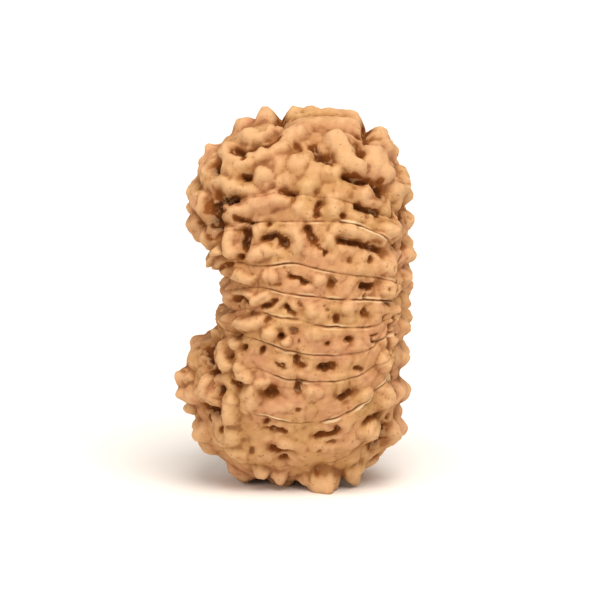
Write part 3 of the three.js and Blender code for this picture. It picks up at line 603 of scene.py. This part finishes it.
def mark_right_seam(bead):
    """The seam on the right, where the ribs of the front end."""
    bead.sink(0.22, 0.45, (9.3, 5.6), (8.6, 3.6), (8.7, 2.9), (8.1, 1.6), (7.7, 0), (8, -1.6), (7.7, -3.1),
              (7.7, -4.4), (7.9, -5))
    bead.sink(0.4, 1.2, (7.95, -5.6), (8.3, -6.5))
    bead.sink(0.35, 1.0, (8.2, -7), (8.3, -8.4))
    bead.sink(0.32, 0.7, (8.6, -9.2), (8.5, -10.2))
    bead.sink(0.16, 0.4, (8.4, -10.4), (8.4, -10.9))
    bead.sink(0.14, 0.3, (8.4, 0.3), (9.5, 1))
    bead.sink(0.16, 0.35, (8.1, -1.1), (9.4, -1))
    bead.sink(0.16, 0.35, (7.9, -2.9), (9.2, -3.2))


# On the two sides the ribs of the back come round to the seams, as rows of knuckles. Each has a height at
# the front seam and one at the back.
RIGHT_RIBS = [
    (13.8, 14), (10.5, 10.5), (7.4, 7.2), (4.6, 4.6), (2.5, 2.7),
    (0.2, 0.8), (-2.1, -2.3), (-4.4, -5.4), (-7.4, -9), (-11, -12.4),
]
LEFT_RIBS = [
    (12.4, 13), (9.6, 10.5), (6.9, 7.2), (4.1, 4.2), (1.8, 1.2),
    (-0.9, -1.8), (-3.8, -5.2), (-7.6, -8.9), (-11.2, -12.4),
]
SIDE_FRONT = -5.6
SIDE_BACK = 6
LOW_RIB_HALF = 1.2
LOW_RIB_RISE = 0.45
KNUCKLES = 5
KNUCKLE_HALF = (1.05, 1.35)
KNUCKLE_RISE = (0.75, 1.15)
KNUCKLE_DRIFT = (-0.15, 0.15)
KNUCKLE_OFFSET = (-0.25, 0.25)
SIDE_PIT_HALF = (0.4, 0.55)
SIDE_PIT_DEPTH = (0.4, 0.9)
SIDE_PIT_OFFSET = (1.2, 1.5)
SIDE_PIT_SHARE = 0.12


def side_place(view, rib, share, off=0.0):
    """A place beside a rib, at a share of the way from its front seam to its back one and off above it."""
    front_up, back_up = rib
    back = SIDE_FRONT + (SIDE_BACK - SIDE_FRONT) * share
    return view.place((back, front_up + (back_up - front_up) * share + off))


def add_side_ribs(bead, ribs, view, draws):
    """The ribs of one side: each is a low ridge with a row of knuckles on it and a pit beside each."""
    for rib in ribs:
        bead.add(LOW_RIB_HALF, LOW_RIB_RISE, [side_place(view, rib, share) for share in (0, 0.5, 1)])
        for knuckle in range(KNUCKLES):
            share = (knuckle + draws.draw(KNUCKLE_DRIFT)) / (KNUCKLES - 1)
            place = side_place(view, rib, share, draws.draw(KNUCKLE_OFFSET))
            bead.add(draws.draw(KNUCKLE_HALF), draws.draw(KNUCKLE_RISE), [place])
            pit = side_place(view, rib, share + SIDE_PIT_SHARE, draws.draw(SIDE_PIT_OFFSET))
            bead.add(draws.draw(SIDE_PIT_HALF), -draws.draw(SIDE_PIT_DEPTH), [pit])


# The bottom end: three feet, ground flat where they stand.
FEET = [(2, -3.2), (-4.1, 1.9), (4.3, 3)]
FOOT_HALF = 1.7
FOOT_RISE = 2.2


def mark_bottom_end(bead, under):
    """The knobs that the bead stands on."""
    for foot in FEET:
        bead.add(FOOT_HALF, FOOT_RISE, [under.place(foot)])


class Draws:
    """Seeded random numbers, the same on every run."""

    def __init__(self, seed):
        self.state = seed

    def draw(self, ends):
        low, high = ends
        self.state = (self.state * DRAW_FACTOR + DRAW_STEP) % DRAW_RANGE
        return low + (high - low) * self.state / DRAW_RANGE


# On the back, the top and the underside each rib has two rows of knobs by turns, and pits between.
FIRST_HIDDEN_RIB = len(FRONT_LINES) - 1
LEFT_START = (-0.9, -0.8)
RIGHT_END = 0.88
UPPER_PART = 0.7
LOWER_PART = 0.3
KNOB_DRIFT = (-0.07, 0.07)
KNOB_LENGTH = (0, 0.09)
KNOB_SLANT = (-0.12, 0.12)
KNOB_HALF = (0.95, 1.25)
KNOB_RISE = (0.55, 0.95)
PIT_START = 0.02
PIT_END = (0.02, 0.1)
PIT_SLANT = 0.05
PIT_HALF = (0.42, 0.58)
PIT_DEPTH = (0.5, 1.2)
KNOB_STEP = (0.15, 0.21)


def mark_hidden_ribs(bead, lines, draws):
    """The ribs that the front doesn't show. The front edge of the top has no pits."""
    def at(rib, across, part):
        start, end = lines.turn(rib, across), lines.turn(rib + 1, across)
        return across, float(start + (end - start) * part)

    for rib in range(FIRST_HIDDEN_RIB, MUKHI):
        across = draws.draw(LEFT_START)
        upper = draws.draw((0, 1)) < 0.5
        while across < RIGHT_END:
            part = (UPPER_PART if upper else LOWER_PART) + draws.draw(KNOB_DRIFT)
            far_end = across + draws.draw(KNOB_LENGTH)
            knob = [at(rib, across, part), at(rib, far_end, part + draws.draw(KNOB_SLANT))]
            bead.add(draws.draw(KNOB_HALF), draws.draw(KNOB_RISE), knob)
            pit_end = across + draws.draw(PIT_END)
            pit = [at(rib, across + PIT_START, 1 - part), at(rib, pit_end, 1 - PIT_SLANT - part)]
            pit_half = draws.draw(PIT_HALF)
            pit_depth = draws.draw(PIT_DEPTH)
            if rib > FIRST_HIDDEN_RIB or not upper:
                bead.add(pit_half, -pit_depth, pit)
            across += draws.draw(KNOB_STEP)
            upper = not upper


# The bead's surface.
def ring_places(body):
    """Even steps along the body, measured halfway between its front and its top outline."""
    angle = np.linspace(0, math.pi, MEASURING_STEPS + 1)
    across = -signed_power(np.cos(angle), 2 / LEFT_SQUARENESS)
    point = body.point(across, np.full(across.shape, MEASURED_TURN))
    length = np.concatenate([[0], np.cumsum(np.linalg.norm(np.diff(point, axis=0), axis=1))])
    wanted = length[-1] * np.arange(1, RINGS + 1) / (RINGS + 1)
    return np.interp(wanted, length, across)


def rib_width(body, lines, rib, across):
    start, end = lines.turn(rib, across), lines.turn(rib + 1, across)
    parts = np.linspace(0, 1, WIDTH_STEPS + 1)
    steps = [body.point(across, start + (end - start) * part) for part in parts]
    return sum(np.linalg.norm(b - a, axis=-1) for a, b in zip(steps[:-1], steps[1:]))


def share_rows(widths):
    """How many rows each rib gets: a fixed few at its lines, and the rest by its width."""
    fixed = 2 * len(LINE_ROWS) + 1
    spare = ROWS - fixed * MUKHI
    ideal = spare * widths / widths.sum()
    rows = np.floor(ideal).astype(int)
    for rib in np.argsort(rows - ideal)[:spare - rows.sum()]:
        rows[rib] += 1
    return rows + fixed


def rib_parts(rows, width):
    """Where the rows of a rib lie, from 0 at its line to 1 at the next, for each ring."""
    widest = [WIDEST_LINE_PART * (order + 1) / len(LINE_ROWS) for order in range(len(LINE_ROWS))]
    near_line = [np.minimum(limit, gap / width) for limit, gap in zip(widest, LINE_ROWS)]
    inner = rows - 2 * len(LINE_ROWS) - 1
    first = near_line[-1]
    parts = [np.zeros_like(width), *near_line]
    parts += [first + (1 - 2 * first) * step / (inner + 1) for step in range(1, inner + 1)]
    parts += [1 - gap for gap in reversed(near_line)]
    return np.stack(parts)


class Unevenness:
    """Smooth noise over the points, in a new pattern at each call."""

    step = Vector((7.3, 3.1, 5.7))

    def __init__(self, points):
        self.points = points
        self.pattern = 0

    def lumps(self, amount, size):
        self.pattern += 1
        shift = self.step * self.pattern
        return amount * np.array([noise.noise(Vector(point) / size + shift) for point in self.points])


def line_relief(gap, strength, along):
    """A crack with a raised lip on each side. One lip is higher than the other, by turns along the line."""
    crack = np.exp(-((gap / CRACK_HALF_WIDTH) ** 2))
    lean = 0.5 + 0.5 * np.clip(along, -1, 1)
    upper = np.exp(-(((gap - LIP_OFFSET) / LIP_HALF_WIDTH) ** 2))
    lower = np.exp(-(((gap + LIP_OFFSET) / LIP_HALF_WIDTH) ** 2))
    lips = lean * upper + (1 - lean) * lower
    both = LOWER_LIP_SHARE * (upper + lower) + (1 - LOWER_LIP_SHARE) * lips
    return strength * crack, strength * both


def level_with(height, rows, reach):
    """The height that each place's neighbourhood has on the whole, up to reach rows and rings away."""
    sheet = height.reshape(-1, rows)
    for axis in (0, 1):
        total = np.zeros_like(sheet)
        for step in range(-reach, reach + 1):
            if axis == 1:
                total += np.roll(sheet, step, axis=1)
            else:
                total += sheet[np.clip(np.arange(len(sheet)) + step, 0, len(sheet) - 1)]
        sheet = total / (2 * reach + 1)
    return sheet.ravel()


def mark_bead(body, lines, front):
    """All knobs, ridges, pits and gullies, those of the front first."""
    bead = Strokes(body, front)
    draws = Draws(SEED)
    for mark in (mark_top_end, mark_upper_left, mark_upper_ribs, mark_middle_ribs, mark_lower_left,
                 mark_lower_ribs, mark_right_seam):
        mark(bead)
    add_side_ribs(bead, RIGHT_RIBS, View(body, (0, 1, 0), (0, 0, 1), (1, 0, 0)), draws)
    add_side_ribs(bead, LEFT_RIBS, View(body, (0, 1, 0), (0, 0, 1), (-1, 0, 0)), draws)
    mark_bottom_end(bead, View(body, (1, 0, 0), (0, 1, 0), (0, 0, -1)))
    mark_hidden_ribs(bead, lines, draws)
    return bead


def lay_grid(body, lines, rib_rise):
    """Where each ring lies, and for each point: its turn, how far its rib rises there, the gap to the
    nearest line, how strong that line is, and how plain its lips are."""
    across = ring_places(body)
    middle_widths = np.array([float(rib_width(body, lines, rib, np.float64(0))) for rib in range(MUKHI)])
    sheets = []
    for rib, rows in enumerate(share_rows(middle_widths)):
        start, end = lines.turn(rib, across), lines.turn(rib + 1, across)
        width = rib_width(body, lines, rib, across)
        parts = rib_parts(rows, width)
        near, far = lines.strength(rib, across), lines.strength(rib + 1, across)
        both = near + (far - near) * parts
        sheets.append((
            start + (end - start) * parts,
            rib_rise * both * (4 * parts * (1 - parts)) ** RIB_FLATNESS,
            np.where(parts < 0.5, parts, parts - 1) * width,
            np.where(parts < 0.5, near, far),
            np.where(parts < 0.5, lines.lip(rib, across), lines.lip(rib + 1, across)),
        ))
    return across, [np.concatenate(sheet).T for sheet in zip(*sheets)]


def make_surface(shape):
    """The bead's points in millimetres, ring by ring, and what its surface is like at each."""
    body = Body(shape.half_width / MM, shape.half_height / MM, shape.half_depth / MM,
                shape.waist_depth / MM, shape.right_hollow_depth / MM)
    front = View(body, (1, 0, 0), (0, math.sin(VIEW_TILT), math.cos(VIEW_TILT)),
                 (0, -math.cos(VIEW_TILT), math.sin(VIEW_TILT)))
    lines = Lines(body, front)
    bead = mark_bead(body, lines, front)
    ring_across, (turn, *values) = lay_grid(body, lines, shape.rib_rise / MM)
    rise, gap, strength, lip_share = (value.ravel() for value in values)
    across = np.broadcast_to(ring_across[:, None], turn.shape)
    points = body.point(across, turn).reshape(-1, 3)
    normals = body.normal(across, turn).reshape(-1, 3)

    # The lines come and go along their length.
    uneven = Unevenness(points)
    fading = np.clip(LINE_MIDDLE + uneven.lumps(*LINE_CHANGE), LEAST_LINE, 1)
    gap = gap + uneven.lumps(*LINE_SHIFT)
    crack, lips = line_relief(gap, strength * fading, uneven.lumps(*LIP_SIDES))
    crack *= LEAST_CRACK + (1 - LEAST_CRACK) * lip_share
    lips *= lip_share

    # Knobs and pits are found from places that are shifted a little, so that their outlines are uneven.
    drift = np.stack([uneven.lumps(*DRIFT) for _ in range(3)], axis=1)
    fray = np.stack([uneven.lumps(*FRAY) for _ in range(3)], axis=1)
    raised, sunk = bead.relief(points + drift + fray)
    raised *= 1 + uneven.lumps(*RAISED_CHANGE)
    sunk *= 1 + uneven.lumps(*SUNK_CHANGE)
    lumps = sum(uneven.lumps(*each) for each in LUMPS)
    skin = uneven.lumps(shape.skin_grain / MM, SKIN_SIZE)
    creases = -CREASE_DEPTH * np.clip(1 - np.abs(uneven.lumps(*CREASES)), 0, 1)
    height = rise + raised + sunk + lumps + creases + skin + shape.line_depth / MM * (lips - crack)
    points = points + normals * height[:, None]
    points[:, 2] = np.maximum(points[:, 2], FLOOR)
    poles = body.point(np.array([-1.0, 1.0]), np.zeros(2))
    looks = {
        # hollow is how deep a place is sunk, for the pits' own dark brown and their painted shade.
        "hollow": np.clip(-sunk, 0, None),
        "crack": crack,
        "lip": lips,
        # stand paints shade in low places, and a pale highlight, partly rubbed wear, on high places.
        "stand": height - level_with(height, turn.shape[1], NEIGHBOURHOOD),
        # rim paints the same at a small reach: a pale highlight, partly rubbed wear, on sharp edges, and
        # shade in narrow creases.
        "rim": height - level_with(height, turn.shape[1], RIM_NEIGHBOURHOOD),
        # waist is how far into the hollow of the kidney a place is, for the painted shade there.
        "waist": body.waist_share(across, body.point(across, turn)[..., 2]).ravel(),
    }
    return turn.shape[1], points, poles, looks


# Materials.
def add_node(tree, kind, settings=None):
    """Adds a node. A setting names an input or a property, and is a value or another node's output."""
    node = tree.nodes.new(kind)
    for name, value in (settings or {}).items():
        if isinstance(value, bpy.types.NodeSocket):
            tree.links.new(value, node.inputs[name])
        elif name in node.inputs:
            node.inputs[name].default_value = value
        else:
            setattr(node, name, value)
    return node


# The patterns of the stone, each with its kind of noise, its size in millimetres, detail and roughness.
PATTERNS = {
    # Broad patches, pinkish and yellowish tan.
    "patches": ("FBM", 4, 3, 0.5),
    # Blotches, where the skin is thicker and browner.
    "blotches": ("FBM", 1.2, 5, 0.65),
    # Wrinkles of the dried skin.
    "wrinkles": ("RIDGED_MULTIFRACTAL", 1.4, 3, 0.5),
    # Dry bits of husk, which cling in the pits.
    "husk": ("FBM", 0.7, 1, 0.5),
    # Pores, drawn a little coarser than they are.
    "pores": ("FBM", 0.35, 1, 0.5),
    # Scuffs and fine grain, which the mesh is too coarse for.
    "scuffs": ("FBM", 0.6, 6, 0.7),
    "grain": ("FBM", 0.15, 4, 0.5),
}

# What the mesh tells the material about each place, from make_surface.
ATTRIBUTES = ("hollow", "crack", "lip", "stand", "rim", "waist")


def make_endocarp(colours):
    """Stony seed wall: dry, matt and a little waxy where it was rubbed, warm tan with dark brown hollows.
    The colour also holds painted shade in hollows and low places, and painted highlights on crests and
    edges.
    """
    material = bpy.data.materials.new("rudraksha_endocarp")
    material.use_nodes = True
    tree = material.node_tree
    tree.nodes.clear()
    where = add_node(tree, "ShaderNodeTexCoord").outputs["Object"]
    skin = {}
    for name, (kind, millimetres, detail, roughness) in PATTERNS.items():
        texture = add_node(tree, "ShaderNodeTexNoise",
                           {"noise_type": kind, "Vector": where, "Scale": 1 / (millimetres * MM),
                            "Detail": detail, "Roughness": roughness})
        skin[name] = texture.outputs["Fac"]
    form = {}
    for name in ATTRIBUTES:
        form[name] = add_node(tree, "ShaderNodeAttribute", {"attribute_name": name}).outputs["Fac"]
    husk_share = add_node(tree, "ShaderNodeMapRange",
                          {"Value": form["hollow"], "From Min": 0.25, "From Max": 0.6, "To Max": 0.4})

    # The layers of colour, from the lowest up. Each has what it follows, the values of it at which the layer
    # begins and is full, how much of the layer shows where it is full, and its colour.
    layers = (
        (skin["patches"], 0.36, 0.64, 1, colours.tan),
        (skin["blotches"], 0.5, 0.75, 0.45, colours.brown),
        # Painted shade: low places are darkened towards brown, and so is the hollow of the kidney.
        (form["stand"], 0.02, -0.4, 0.7, colours.brown),
        (form["waist"], 0.05, 0.4, 0.55, colours.brown),
        # Painted highlight, partly rubbed wear: high places are painted pale.
        (form["stand"], 0.05, 0.5, 0.5, colours.pale),
        # Pits and gullies are dark brown, partly their own colour and partly painted shade, which deepens to
        # nearly black at the bottom.
        (form["hollow"], 0.2, 0.48, 1, colours.hollow),
        (form["hollow"], 0.5, 0.95, 0.85, colours.pit),
        # Sharp edges are painted pale, partly rubbed wear and partly painted highlight, and narrow creases
        # are darkened with painted shade.
        (form["rim"], 0.02, 0.12, 0.4, colours.pale),
        (form["rim"], -0.02, -0.12, 0.55, colours.hollow),
        (skin["wrinkles"], 0.62, 0.9, 0.45, colours.brown),
        (skin["husk"], 0.57, 0.68, husk_share.outputs["Result"], colours.pale),
        (skin["pores"], 0.64, 0.76, 0.5, colours.hollow),
        # A line is a pale dry lip beside a dark crack.
        (form["lip"], 0.2, 0.65, 0.85, colours.edge),
        (form["crack"], 0.3, 0.9, 0.7, colours.hollow),
    )
    colour = list(colours.pink)
    for value, start, full, share, over in layers:
        mask = add_node(tree, "ShaderNodeMapRange",
                        {"Value": value, "From Min": start, "From Max": full, "To Max": share})
        mix = add_node(tree, "ShaderNodeMix",
                       {"data_type": "RGBA", "Factor": mask.outputs["Result"], "A": colour, "B": list(over)})
        colour = mix.outputs["Result"]

    # Wrinkles sink in, and scuffs and grain stand out from them.
    creased = add_node(tree, "ShaderNodeBump",
                       {"invert": True, "Strength": 0.5, "Distance": 0.15 * MM, "Height": skin["wrinkles"]})
    scuffed = add_node(tree, "ShaderNodeBump",
                       {"Strength": 0.9, "Distance": 0.18 * MM, "Height": skin["scuffs"],
                        "Normal": creased.outputs["Normal"]})
    grained = add_node(tree, "ShaderNodeBump",
                       {"Strength": 0.35, "Distance": 0.04 * MM, "Height": skin["grain"],
                        "Normal": scuffed.outputs["Normal"]})
    rough = add_node(tree, "ShaderNodeMapRange",
                     {"Value": skin["blotches"], "To Min": 0.6, "To Max": 0.85})

    # The wax is only where hands reach: the pits have none and hardly shine.
    shine = add_node(tree, "ShaderNodeMapRange",
                     {"Value": form["hollow"], "From Min": 0.1, "From Max": 0.4,
                      "To Min": 0.3, "To Max": 0.03})
    shader = add_node(tree, "ShaderNodeBsdfPrincipled",
                      {"IOR": 1.45, "Metallic": 0.0, "Base Color": colour,
                       "Roughness": rough.outputs["Result"], "Normal": grained.outputs["Normal"],
                       "Specular IOR Level": shine.outputs["Result"]})
    add_node(tree, "ShaderNodeOutputMaterial", {"Surface": shader.outputs["BSDF"]})
    return material


def make_plain(name, hex_text, roughness):
    material = bpy.data.materials.new(name)
    material.use_nodes = True
    shader = material.node_tree.nodes["Principled BSDF"]
    shader.inputs["Base Color"].default_value = linear_colour(hex_text)
    shader.inputs["Roughness"].default_value = roughness
    return material


# Sizes and colours that a user would change.
def length_setting(name, description, millimetres):
    return bpy.props.FloatProperty(name=name, description=description, default=millimetres * MM, min=0.0,
                                   unit="LENGTH", subtype="DISTANCE", precision=5)


def colour_setting(name, description, hex_text):
    return bpy.props.FloatVectorProperty(name=name, description=description, default=linear_colour(hex_text),
                                         size=4, min=0.0, max=1.0, subtype="COLOR")


class BeadShape(bpy.types.PropertyGroup):
    half_width: length_setting("Half width", "Half the width between the two poles", 10)
    half_height: length_setting("Half height", "Half the length of the plain body", 16.2)
    half_depth: length_setting("Half depth", "Half the depth of the plain body", 8.5)
    waist_depth: length_setting("Waist depth", "Depth of the hollow on the left", 4.1)
    right_hollow_depth: length_setting("Right hollow depth", "Depth of the slight one on the right", 0.7)
    rib_rise: length_setting("Rib rise", "How far a rib stands out between its lines", 0.25)
    line_depth: length_setting("Line depth", "Depth of the fine crack along a line", 0.16)
    skin_grain: length_setting("Skin grain", "Height of the finest modelled grain", 0.03)


class BeadColours(bpy.types.PropertyGroup):
    tan: colour_setting("Tan", "Most of the surface", "C0925D")
    pink: colour_setting("Pink", "Pinkish patches", "C18A62")
    # Pale is the colour of dry husk and rubbed wear, and also the painted highlight of high places and sharp
    # edges.
    pale: colour_setting("Pale", "Rubbed knobs and dry lips", "DBAF80")
    # Brown is the colour of blotches and wrinkles, and also the painted shade of low places and of the
    # hollow of the kidney.
    brown: colour_setting("Brown", "Low places between the knobs", "A06A38")
    # Hollow is the colour of pores and cracks and of the pits' sides with their painted shade, and also the
    # painted shade of narrow creases.
    hollow: colour_setting("Hollow", "Sides of pits and gullies", "834B22")
    edge: colour_setting("Edge", "Dry raised lips of the lines", "E3CBA0")
    # Pit is partly the pits' own colour and partly the painted shade at their bottoms.
    pit: colour_setting("Pit", "Bottoms of the deepest pits", "4E2A14")


class OBJECT_OT_rudraksha_bead(bpy.types.Operator):
    """Make the bead: a grid that is wrapped round the bead's surface and closed along its edges"""

    bl_idname = "object.rudraksha_bead"
    bl_label = "Bead"

    def execute(self, context):
        shape, colours = context.scene.bead_shape, context.scene.bead_colours
        rows, points, poles, looks = make_surface(shape)
        bpy.ops.object.select_all(action="DESELECT")
        bpy.ops.mesh.primitive_grid_add(x_subdivisions=rows, y_subdivisions=RINGS + 1, size=1)
        piece = context.object
        piece.name = "bead_stone"
        piece.data.name = "bead_stone"
        mesh = piece.data

        # Where a vertex of the flat grid lies says which ring and row it gets. The two outermost rings of
        # the grid close the bead at its poles.
        start = np.empty(len(mesh.vertices) * 3)
        mesh.vertices.foreach_get("co", start)
        start = start.reshape(-1, 3)
        row = np.rint((start[:, 0] + 0.5) * rows).astype(int) % rows
        ring = np.rint((start[:, 1] + 0.5) * (RINGS + 1)).astype(int) - 1
        inside = (ring >= 0) & (ring < RINGS)
        order = np.where(inside, ring * rows + row, 0)
        placed = points[order]
        placed[ring < 0] = poles[0]
        placed[ring >= RINGS] = poles[1]

        # It stands on the same floor and in the same middle as the node that it replaces.
        low, high = placed.min(0), placed.max(0)
        cad_low, cad_high = (np.array(corner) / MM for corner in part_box(NODE))
        placed[:, :2] += ((cad_low + cad_high) / 2 - (low + high) / 2)[:2]
        placed[:, 2] += cad_low[2] - low[2]
        mesh.vertices.foreach_set("co", (placed * MM).ravel())
        mesh.update()
        for name, values in looks.items():
            attribute = mesh.attributes.new(name, "FLOAT", "POINT")
            attribute.data.foreach_set("value", np.where(inside, values[order], 0))
        bpy.ops.object.mode_set(mode="EDIT")
        bpy.ops.mesh.select_all(action="SELECT")
        bpy.ops.mesh.remove_doubles(threshold=SAME_PLACE)
        bpy.ops.mesh.normals_make_consistent(inside=False)
        bpy.ops.object.mode_set(mode="OBJECT")
        bpy.ops.object.shade_smooth()
        mesh.materials.append(make_endocarp(colours))
        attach(piece, "root")
        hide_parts(NODE)
        return {"FINISHED"}


class OBJECT_OT_rudraksha_stage(bpy.types.Operator):
    """Make the plain pale floor, the soft studio light and the camera"""

    bl_idname = "object.rudraksha_stage"
    bl_label = "Stage"

    def execute(self, context):
        self.make_floor()
        self.make_lights(context)
        self.make_camera(context)
        return {"FINISHED"}

    def make_floor(self):
        bpy.ops.object.select_all(action="DESELECT")
        bpy.ops.mesh.primitive_plane_add(size=PAPER_SIZE, location=(0, 0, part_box(NODE)[0][2]))
        floor = bpy.context.object
        floor.name = "floor"
        floor.data.materials.append(make_plain("floor_paper", PAPER_COLOUR, PAPER_ROUGHNESS))

    def make_lights(self, context):
        world = bpy.data.worlds.new("studio")
        world.use_nodes = True
        background = world.node_tree.nodes["Background"]
        background.inputs["Color"].default_value = linear_colour(WORLD_COLOUR)
        background.inputs["Strength"].default_value = WORLD_LIGHT
        context.scene.world = world
        middle = Vector((0, 0, 0.5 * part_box(NODE)[1][2]))
        for name, (place, size, watts) in LAMPS.items():
            light = bpy.data.lights.new(name, "AREA")
            light.size = size
            light.energy = watts
            light.color = linear_colour(LAMP_COLOUR)[:3]
            lamp = bpy.data.objects.new(name, light)
            lamp.location = place
            lamp.rotation_euler = (middle - lamp.location).to_track_quat("-Z", "Y").to_euler()
            context.collection.objects.link(lamp)

    def make_camera(self, context):
        middle = Vector((AIM_RIGHT * MM, 0, -FLOOR * MM))
        back = Vector((0, -math.cos(VIEW_TILT), math.sin(VIEW_TILT)))
        lens = bpy.data.cameras.new("camera")
        lens.sensor_width = SENSOR_WIDTH
        lens.lens = SENSOR_WIDTH * CAMERA_AWAY / FRAME_WIDTH
        lens.clip_start = NEAREST_SEEN
        camera = bpy.data.objects.new("camera", lens)
        camera.location = middle + back * CAMERA_AWAY
        camera.rotation_euler = (-back).to_track_quat("-Z", "Y").to_euler()
        context.collection.objects.link(camera)
        context.scene.camera = camera
        context.scene.view_settings.view_transform = "Standard"


class VIEW3D_PT_rudraksha(bpy.types.Panel):
    bl_idname = "VIEW3D_PT_rudraksha"
    bl_label = "Nineteen Mukhi Rudraksha"
    bl_space_type = "VIEW_3D"
    bl_region_type = "UI"
    bl_category = "Rudraksha"

    def draw(self, context):
        for group in (context.scene.bead_shape, context.scene.bead_colours):
            box = self.layout.box()
            for name in group.__annotations__:
                box.prop(group, name)
        self.layout.operator(OBJECT_OT_rudraksha_bead.bl_idname)
        self.layout.operator(OBJECT_OT_rudraksha_stage.bl_idname)


CLASSES = (BeadShape, BeadColours, OBJECT_OT_rudraksha_bead, OBJECT_OT_rudraksha_stage, VIEW3D_PT_rudraksha)


def register():
    for one in CLASSES:
        bpy.utils.register_class(one)
    bpy.types.Scene.bead_shape = bpy.props.PointerProperty(type=BeadShape)
    bpy.types.Scene.bead_colours = bpy.props.PointerProperty(type=BeadColours)


def unregister():
    del bpy.types.Scene.bead_colours
    del bpy.types.Scene.bead_shape
    for one in reversed(CLASSES):
        bpy.utils.unregister_class(one)


def main():
    register()
    bpy.ops.object.rudraksha_stage()
    bpy.ops.object.rudraksha_bead()


if __name__ == "__main__":
    main()
